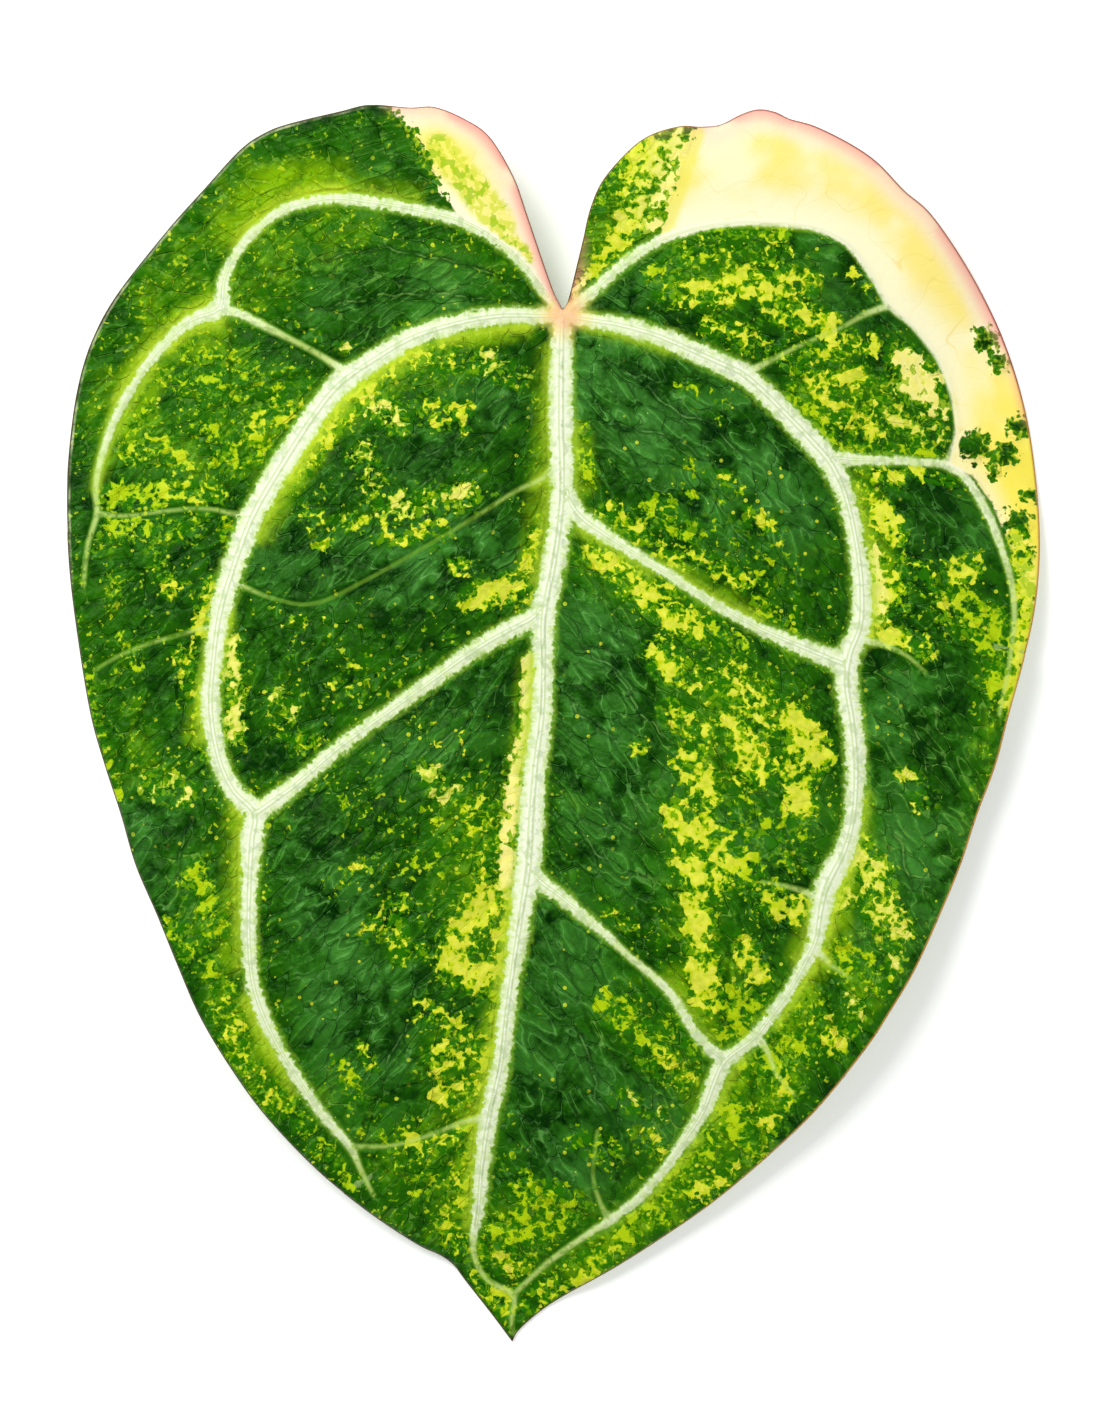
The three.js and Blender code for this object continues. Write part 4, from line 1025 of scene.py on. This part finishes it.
def leaf_material():
    n = Nodes("leaf_blade")
    place = n.millimetres()
    to_band, width, along = n.three("veins")
    to_edge, upper, glow = n.three("edge")
    fine, main, own = n.three("net")
    cover, tone, cream = n.three("marks")
    # The tints: the pink blush, the fresher green, and where a sheen is painted
    blush, fresh, painted_sheen = n.three("tints")
    fleck, east, north = n.three("pattern")
    to_fold, along_grain, across_grain = n.three("lie")

    broad = n.noise(place, 14, 2)
    patchy = n.noise(place, 4.5, 3, 0.6)
    swirled = n.warped(place, 3, 1.5)
    crinkled = n.warped(place, 1.8, 0.7)
    swirl = n.noise(swirled, 1.9, 2, 0.6)
    ragged = n.noise(crinkled, 1.2, 2, 0.6)

    # The green, from the deepest to the lightest, a little different in each cell of the net
    shade = n.total((fresh, 0.6), (own, 0.22), (patchy, 0.45), (broad, 0.3), (swirl, 0.25), (painted_sheen, -0.12))
    green = n.mix(n.rise(shade, 0.15, 0.9), colour(0, 46, 0), colour(38, 106, 0))
    green = n.mix(n.rise(shade, 0.75, 1.4), green, colour(98, 156, 2))
    # Painted sheen: where it lies, a paler painted haze in broad zones and a painted gloss highlight in
    # smaller ones
    painted_haze = n.rise(n.total((own, 0.2), (broad, 0.45), (patchy, 0.45)), 0.3, 0.85)
    green = n.mix(n.times(painted_haze, painted_sheen, 0.85), green, colour(58, 132, 36))
    painted_gloss = n.times(painted_sheen, n.rise(n.total((broad, 0.5), (patchy, 0.7)), 0.35, 1), 0.3)
    green = n.mix(painted_gloss, green, colour(84, 146, 70))

    # The net of small veins: painted shade in the creases, with pale hairlines along them that are partly
    # the veinlets' own colour and partly painted highlight
    painted_crease_shade = n.times(
        n.rise(fine, 0.42, 0.04),
        n.total((main, 0.38), (patchy, 0.14)),
        n.rise(fresh, 0.8, -0.2),
    )
    green = n.mix(painted_crease_shade, green, colour(0, 36, 4))
    drawn = n.total((main, 0.32), (painted_sheen, 0.08), (fresh, 0.45), (0.06, 1.0))
    veinlet_and_highlight = n.times(n.rise(fine, 0.14, 0.06), n.rise(swirl, 0.2, 0.8), drawn)
    green = n.mix(veinlet_and_highlight, green, n.mix(fresh, colour(84, 152, 68), colour(150, 196, 40)))

    # Curled lines along the grain, painted as shade in dark ones and as highlight in light ones, side by
    # side
    flow = n.add("ShaderNodeCombineXYZ", {0: n.times(along_grain, 0.42), 1: across_grain}).outputs[0]
    ripples = n.noise(n.warped(flow, 3.5, 1.0), 4.4, 1, 0.4)
    ripple = n.math("PINGPONG", n.times(ripples, 1.7), 0.5)
    broken = n.total((n.rise(patchy, 0.15, 0.7), 0.7), (n.rise(swirl, 0.3, 0.7), 0.3))
    green = n.mix(n.times(n.rise(ripple, 0.36, 0.2), broken, 0.4), green, colour(0, 36, 2))
    ripple_highlight = n.times(n.rise(ripple, 0.43, 0.48), broken, n.total((painted_sheen, 0.42), (0.26, 1.0)))
    green = n.mix(ripple_highlight, green, n.mix(fresh, colour(108, 172, 84), colour(150, 196, 40)))

    # Painted shade along the long folds, with a painted highlight line in each, and the green is yellower
    # beside some veins
    fold_shade = n.times(n.rise(to_fold, 1, 0.3), 0.45)
    green = n.mix(fold_shade, green, colour(0, 38, 6))
    fold_highlight = n.times(n.rise(to_fold, 0.24, 0.1), n.rise(patchy, 0.1, 0.8), 0.45)
    green = n.mix(fold_highlight, green, n.mix(fresh, colour(112, 172, 82), colour(160, 200, 50)))
    green = n.mix(n.times(glow, n.rise(patchy, -0.4, 0.8), 0.85), green, colour(140, 190, 4))

    # Flecks between rounded green islets: mid green and olive at random, then lime and yellow
    clumps = n.islets(swirled, 4.6)
    islets = n.islets(crinkled, 2.0)
    dots = n.islets(crinkled, 0.95)
    rounded = n.total((clumps, 0.24), (islets, 0.26), (dots, 0.14))
    resist = n.rise(n.total((fleck, 0.3), (rounded, 1.0), (ragged, 0.12)), 0.25, 0.79)
    tonal = n.noise(n.vector("ADD", swirled, (57, 31, 9)), 2.3, 2, 0.5)
    second = n.noise(n.vector("ADD", crinkled, (23, 71, 5)), 1.5, 2, 0.5)
    area = n.rise(n.total((cover, 1.0), (fresh, 0.1)), 0.04, 0.4)
    midway = n.rise(n.total((tonal, 1.0), (cover, 0.35), (resist, -0.25)), 0.42, 0.52)
    flecked = n.mix(n.times(area, midway, 0.9), green, colour(38, 112, 0))
    olive = n.rise(n.total((second, 1.0), (cover, 0.5), (resist, -0.3)), 0.68, 0.76)
    flecked = n.mix(n.times(area, olive, 0.9), flecked, colour(100, 156, 2))
    uneven = n.total((n.noise(place, 6.5, 2), 0.5), (-0.25, 1.0))
    lean = n.total(
        (cover, 1.05),
        (resist, -1.0),
        (n.times(uneven, cover), 1.0),
        (n.rise(cover, 0.12, 0), -0.5),
    )
    strong = n.mix(second, colour(192, 212, 10), colour(226, 230, 56))
    strong = n.mix(n.rise(tone, 0.5, 0), strong, colour(176, 206, 14))
    strong = n.mix(n.rise(tone, 0.5, 1), strong, n.mix(second, colour(198, 214, 50), colour(234, 232, 108)))
    palest = n.mix(second, colour(253, 245, 158), colour(244, 236, 112))
    strong = n.mix(n.rise(tone, 1, 1.5), strong, palest)
    weak = n.mix(
        n.rise(tone, 0.5, 1),
        colour(122, 172, 2),
        n.mix(tonal, colour(116, 166, 12), colour(176, 202, 56)),
    )
    flecked = n.mix(n.rise(lean, -0.02, 0.03), flecked, weak)
    yellowed = n.total((lean, 1.0), (second, 0.3), (n.rise(tone, 0.5, 1), -0.06), (-0.25, 1.0))
    middles = n.times(n.rise(yellowed, 0.1, 0.45), n.rise(tone, 0.3, 0.9), 0.6)
    strong = n.mix(middles, strong, colour(246, 240, 132))
    flecked = n.mix(n.rise(yellowed, -0.02, 0.03), flecked, strong)

    # Crumbs and specks of lime that are scattered over the green
    crumbs = n.total(
        (n.noise(n.vector("ADD", crinkled, (91, 13, 7)), 1.05, 1, 0.5), 1.0),
        (cover, 0.2),
        (fresh, 0.1),
        (patchy, 0.2),
        (painted_sheen, -0.2),
    )
    crumb_colour = n.mix(n.rise(second, 0.35, 0.75), colour(88, 150, 4), colour(176, 204, 24))
    flecked = n.mix(n.times(n.rise(crumbs, 1.06, 1.12), n.rise(lean, 0, -0.05), 0.85), flecked, crumb_colour)
    specks = n.times(n.dots(place, 2.4, 0.42, 0.25), n.rise(n.total((broad, 0.6), (cover, 1.0)), 0.2, 0.5))
    flecked = n.mix(n.times(specks, 0.8), flecked, colour(206, 222, 50))

    # Vein bands: the fringe outside, and a comb of small pale teeth that reach out across it
    comb = n.noise(n.add("ShaderNodeCombineXYZ", {0: along, 1: n.times(to_band, 0.5)}).outputs[0], 0.8, 2)
    teeth = n.total((n.times(comb, patchy), 0.5), (ragged, 0.45), (swirl, 0.55), (-0.4, 1.0))
    wide = n.rise(width, 0.2, 1.6)
    from_band = n.total((to_band, 1.0), (n.times(teeth, wide), 1.0))
    reach = n.total((glow, 2.2), (0.5, 1.0), (wide, 0.9))
    fringe = n.times(n.rise(from_band, reach, 0), n.total((glow, 0.35), (wide, 0.3), (0.3, 1.0)))
    flecked = n.mix(fringe, flecked, n.mix(glow, colour(134, 184, 44), colour(196, 222, 44)))

    # The cream sectors, deeper yellow away from the veins, with flecks of lime in places
    frayed = n.total((islets, -1.5), (dots, -1.0), (ragged, 1.0), (patchy, 0.8), (0.2, 1.0))
    wander = n.times(frayed, n.rise(to_band, 0.2, 2.5))
    bare = n.total((cream, 1.0), (wander, 1.0))
    yolk = n.times(n.rise(to_band, 1, 9), n.rise(broad, -0.2, 0.8))
    creamy = n.mix(yolk, colour(255, 249, 206), colour(255, 236, 134))
    veinlet = n.rise(n.math("ABSOLUTE", n.total((n.noise(place, 12, 1), 1.0), (-0.5, 1.0))), 0.02, 0.006)
    creamy = n.mix(n.times(veinlet, 0.4), creamy, colour(246, 214, 104))
    ripe = n.times(n.rise(north, -2, -30), n.total((n.rise(to_band, 0.5, 6), 0.6), (0.35, 1.0)))
    creamy = n.mix(ripe, creamy, colour(248, 232, 80))
    # Peach along the upper margin, and lime with green spots where a patch lies on the cream
    peach = n.times(n.rise(to_edge, 6, 1.5), n.rise(north, -12, 4), 0.9)
    creamy = n.mix(peach, creamy, colour(254, 232, 198))
    greenish = n.times(n.rise(tone, 1.2, 0.6), n.rise(cover, 0.05, 0.4))
    creamy = n.mix(n.times(n.rise(cover, 0.05, 0.45), 0.75), creamy, colour(242, 234, 96))
    creamy = n.mix(n.times(greenish, n.rise(second, 0.25, 0.6), 0.7), creamy, colour(206, 218, 50))
    spotted = n.rise(n.total((lean, 1.0), (tonal, 0.5), (-0.34, 1.0)), -0.02, 0.05)
    creamy = n.mix(n.times(greenish, spotted, 0.8), creamy, colour(158, 196, 20))
    # The cream's border breaks up into small green blobs
    border = n.times(n.rise(bare, -2.2, -0.5), n.rise(cover, 0.7, 0.2), n.rise(to_band, 1.5, 4), 0.85)
    blobs = n.mix(n.rise(dots, 0.25, 0.5), colour(164, 196, 28), colour(64, 130, 4))
    surface = n.mix(border, flecked, blobs)
    surface = n.mix(n.rise(bare, -0.3, 0.2), surface, creamy)

    # The bands are whitish, greener at their sides and where thin, with two fine lines in the wide ones
    outer = n.times(n.rise(from_band, -1.7, 0.1), n.total((comb, 0.6), (0.4, 1.0)))
    band = n.mix(outer, colour(246, 251, 228), colour(204, 228, 140))
    band = n.mix(n.rise(width, 1, 0.35), band, colour(204, 226, 124))
    band = n.mix(n.times(n.rise(cream, -1.2, -0.1), 0.85), band, colour(252, 249, 218))
    drawn_thin = n.times(n.rise(width, 0.1, 0.3), n.rise(swirl, 0, 0.6))
    faint = n.total((n.rise(width, 0.2, 0.9), 0.65), (drawn_thin, 0.4))
    surface = n.mix(n.times(n.rise(from_band, 0.3, -0.3), faint), surface, band)
    middle = n.math("DIVIDE", n.total((to_band, 1.0), (width, 1.0)), n.math("MAXIMUM", width, 0.3))
    lines = n.times(n.rise(middle, 0.3, 0.2), n.rise(middle, 0.05, 0.12), n.rise(width, 0.4, 1.2), 0.6)
    surface = n.mix(lines, surface, colour(184, 210, 126))

    # Amber round the joint, pink along the cream margins, a painted highlight just inside the upper left
    # edge, and the thin hard line of the edge itself
    from_joint = n.math("SQRT", n.total((n.times(east, east), 1.0), (n.times(north, north), 1.0)))
    amber = n.times(
        n.rise(from_joint, 8, 1),
        n.rise(to_band, 1.2, -0.6),
        n.total((patchy, 0.4), (0.55, 1.0)),
    )
    surface = n.mix(amber, surface, colour(252, 218, 124))
    pale_here = n.total((n.rise(bare, -0.3, 0.2), 0.5), (0.5, 1.0))
    blushed = n.math("MAXIMUM", n.rise(to_edge, 3.4, 0), n.rise(from_joint, 5, 1.5))
    surface = n.mix(n.times(blush, blushed, pale_here, 0.85), surface, colour(248, 146, 144))
    # A painted highlight: a thin pale line just inside the upper left edge, on the green only
    upper_left = n.times(n.rise(east, -24, -40), n.rise(north, -60, -30), n.rise(cream, 0, -2))
    painted_glint = n.times(n.rise(to_edge, 0.85, 0.6), n.rise(to_edge, 0.25, 0.4), upper_left, patchy, 0.6)
    surface = n.mix(painted_glint, surface, colour(232, 232, 190))
    rim = n.mix(n.rise(east, -20, 60), colour(84, 62, 14), colour(206, 150, 44))
    cream_rim = n.mix(n.rise(north, -8, -24), colour(176, 84, 72), colour(204, 140, 48))
    rim = n.mix(n.rise(cream, -2, 1), rim, cream_rim)
    rim_width = n.total((n.rise(east, 20, 60), 0.2), (0.36, 1.0))
    surface = n.mix(n.rise(to_edge, rim_width, 0.12), surface, rim)

    # The underside is paler and duller, with the same markings showing faintly
    below = n.mix(0.62, surface, colour(140, 170, 100))
    n.surface(n.mix(upper, below, surface), 0.38)
    n.put(n.shader.inputs["Specular IOR Level"], 0.12)
    n.put(n.shader.inputs["Specular Tint"], (0.6, 1, 0.4, 1))

    # Relief, which is calm in the cream, in solid patches and on the bands
    plain = n.math("MAXIMUM", n.rise(cream, -1, 1), n.times(n.rise(cover, 0.3, 0.8), 0.8))
    plain = n.math("MAXIMUM", plain, n.rise(to_band, 1.0, 0.2))
    calm = n.total((plain, -0.9), (1.0, 1.0))
    creases = n.times(n.rise(fine, 0, 0.34), n.total((main, 0.6), (0.4, 1.0)))
    rippled = n.times(ripple, n.rise(patchy, 0.1, 0.8))
    height = n.total((creases, 0.6), (comb, 0.12), (rippled, 1.2))
    n.relief(n.times(height, calm), 0.45, 1.0)
    return n.material


def stalk_mesh():
    """The cut stub of the stalk: a round stem that swells where it meets the blade."""
    rings, sides = STALK_RINGS, STALK_SIDES
    radius = STALK_WIDTH / 2
    x, y = STALK_START
    top = float(survey(np.array([[x, y]]))["top"][0]) - STALK_SINK
    run, fall = STALK_REACH
    bend, sag = STALK_BEND
    control = np.array([
        (x, y, top),
        (x, y - bend * run, top - sag * fall),
        (x - STALK_LEAN, y - run, top - fall),
    ])
    corners = []
    for t in np.linspace(0, 1, rings):
        at = (1 - t) ** 2 * control[0] + 2 * t * (1 - t) * control[1] + t**2 * control[2]
        way = Vector((1 - t) * (control[1] - control[0]) + t * (control[2] - control[1])).normalized()
        side = way.cross(Vector((1, 0, 0))).normalized()
        up = way.cross(side)
        swell = radius * (1 + STALK_SWELL * math.exp(-((t / STALK_SWELL_REACH) ** 2)))
        for k in range(sides):
            turn = 2 * math.pi * k / sides
            ribbed = swell * (1 + STALK_RIB_RISE * math.cos(STALK_RIBS * turn))
            corners.append(Vector(at) + ribbed * (math.cos(turn) * side + math.sin(turn) * up))
    faces = [
        (r * sides + k, r * sides + (k + 1) % sides, (r + 1) * sides + (k + 1) % sides, (r + 1) * sides + k)
        for r in range(rings - 1)
        for k in range(sides)
    ]
    faces += [tuple(range(sides))[::-1], tuple(range((rings - 1) * sides, rings * sides))]
    corners = np.array(corners)
    blade = survey(corners[:, :2])["top"]
    corners[:, 2] = np.minimum(corners[:, 2], blade - STALK_COVER)
    corners[:, :2] -= centre
    mesh = bpy.data.meshes.new("stalk_stub")
    mesh.from_pydata((corners * MM).tolist(), [], faces)
    mesh.shade_smooth()
    return mesh


def stalk_material():
    n = Nodes("stalk_stub")
    place = n.millimetres()
    mottled = n.noise(place, 1.4, 4, 0.6)
    green = n.mix(mottled, colour(128, 162, 84), colour(178, 196, 116))
    n.surface(n.mix(n.times(n.noise(place, 3.5), 0.35), green, colour(196, 140, 96)), 0.42)
    n.relief(mottled, 0.15, 0.5)
    return n.material


def show(name, data):
    """A new object in the scene."""
    made = bpy.data.objects.new(name, data)
    bpy.context.scene.collection.objects.link(made)
    return made


def piece(name, mesh, material):
    """A shown piece of the leaf, standing for the CAD solid."""
    made = show(name, mesh)
    mesh.materials.append(material)
    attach(made, "root")
    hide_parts("leaf")


def floor():
    mesh = bpy.data.meshes.new("floor")
    corners = [(x * FLOOR_HALF, y * FLOOR_HALF, 0) for x, y in ((-1, -1), (1, -1), (1, 1), (-1, 1))]
    mesh.from_pydata(corners, [], [(0, 1, 2, 3)])
    made = show("floor", mesh)
    made.location.z = -FLOOR_GAP * MM
    n = Nodes("floor")
    n.surface(colour(251, 251, 250), 0.9)
    n.put(n.shader.inputs["Emission Color"], (1, 1, 1, 1))
    n.put(n.shader.inputs["Emission Strength"], 0.3)
    mesh.materials.append(n.material)


def lamp(name, place, target, size, power):
    """A square soft lamp at a place, facing a target, in metres and watts."""
    data = bpy.data.lights.new(name, "AREA")
    data.size = size
    data.energy = power
    made = show(name, data)
    made.location = place
    made.rotation_euler = (Vector(place) - Vector(target)).to_track_quat("Z", "Y").to_euler()


def lights():
    world = bpy.data.worlds.new("studio")
    world.use_nodes = True
    background = world.node_tree.nodes["Background"]
    background.inputs["Color"].default_value = (1, 1, 1, 1)
    background.inputs["Strength"].default_value = WORLD_LIGHT
    bpy.context.scene.world = world
    lamp("key", (-0.5, 0.55, 1.0), (0, 0, 0), 0.6, 11.5)
    lamp("fill", (0.8, -0.3, 0.9), (0, 0, 0), 0.8, 3)


def camera():
    """Straight above the leaf, with the photograph's frame at the leaf's height."""
    tall = PHOTO_HEIGHT / PIXELS_PER_MM * MM
    data = bpy.data.cameras.new("camera")
    data.lens = LENS
    data.sensor_width = data.sensor_height = SENSOR
    data.sensor_fit = "VERTICAL"
    made = show("camera", data)
    aim = (np.array(FRAME_MIDDLE) - centre) * MM
    made.location = (*aim, tall * LENS / SENSOR + FRAME_LEVEL * MM)
    bpy.context.scene.camera = made


piece("leaf_blade", leaf_mesh(), leaf_material())
piece("stalk_stub", stalk_mesh(), stalk_material())
floor()
lights()
camera()
bpy.context.scene.view_settings.view_transform = "Standard"
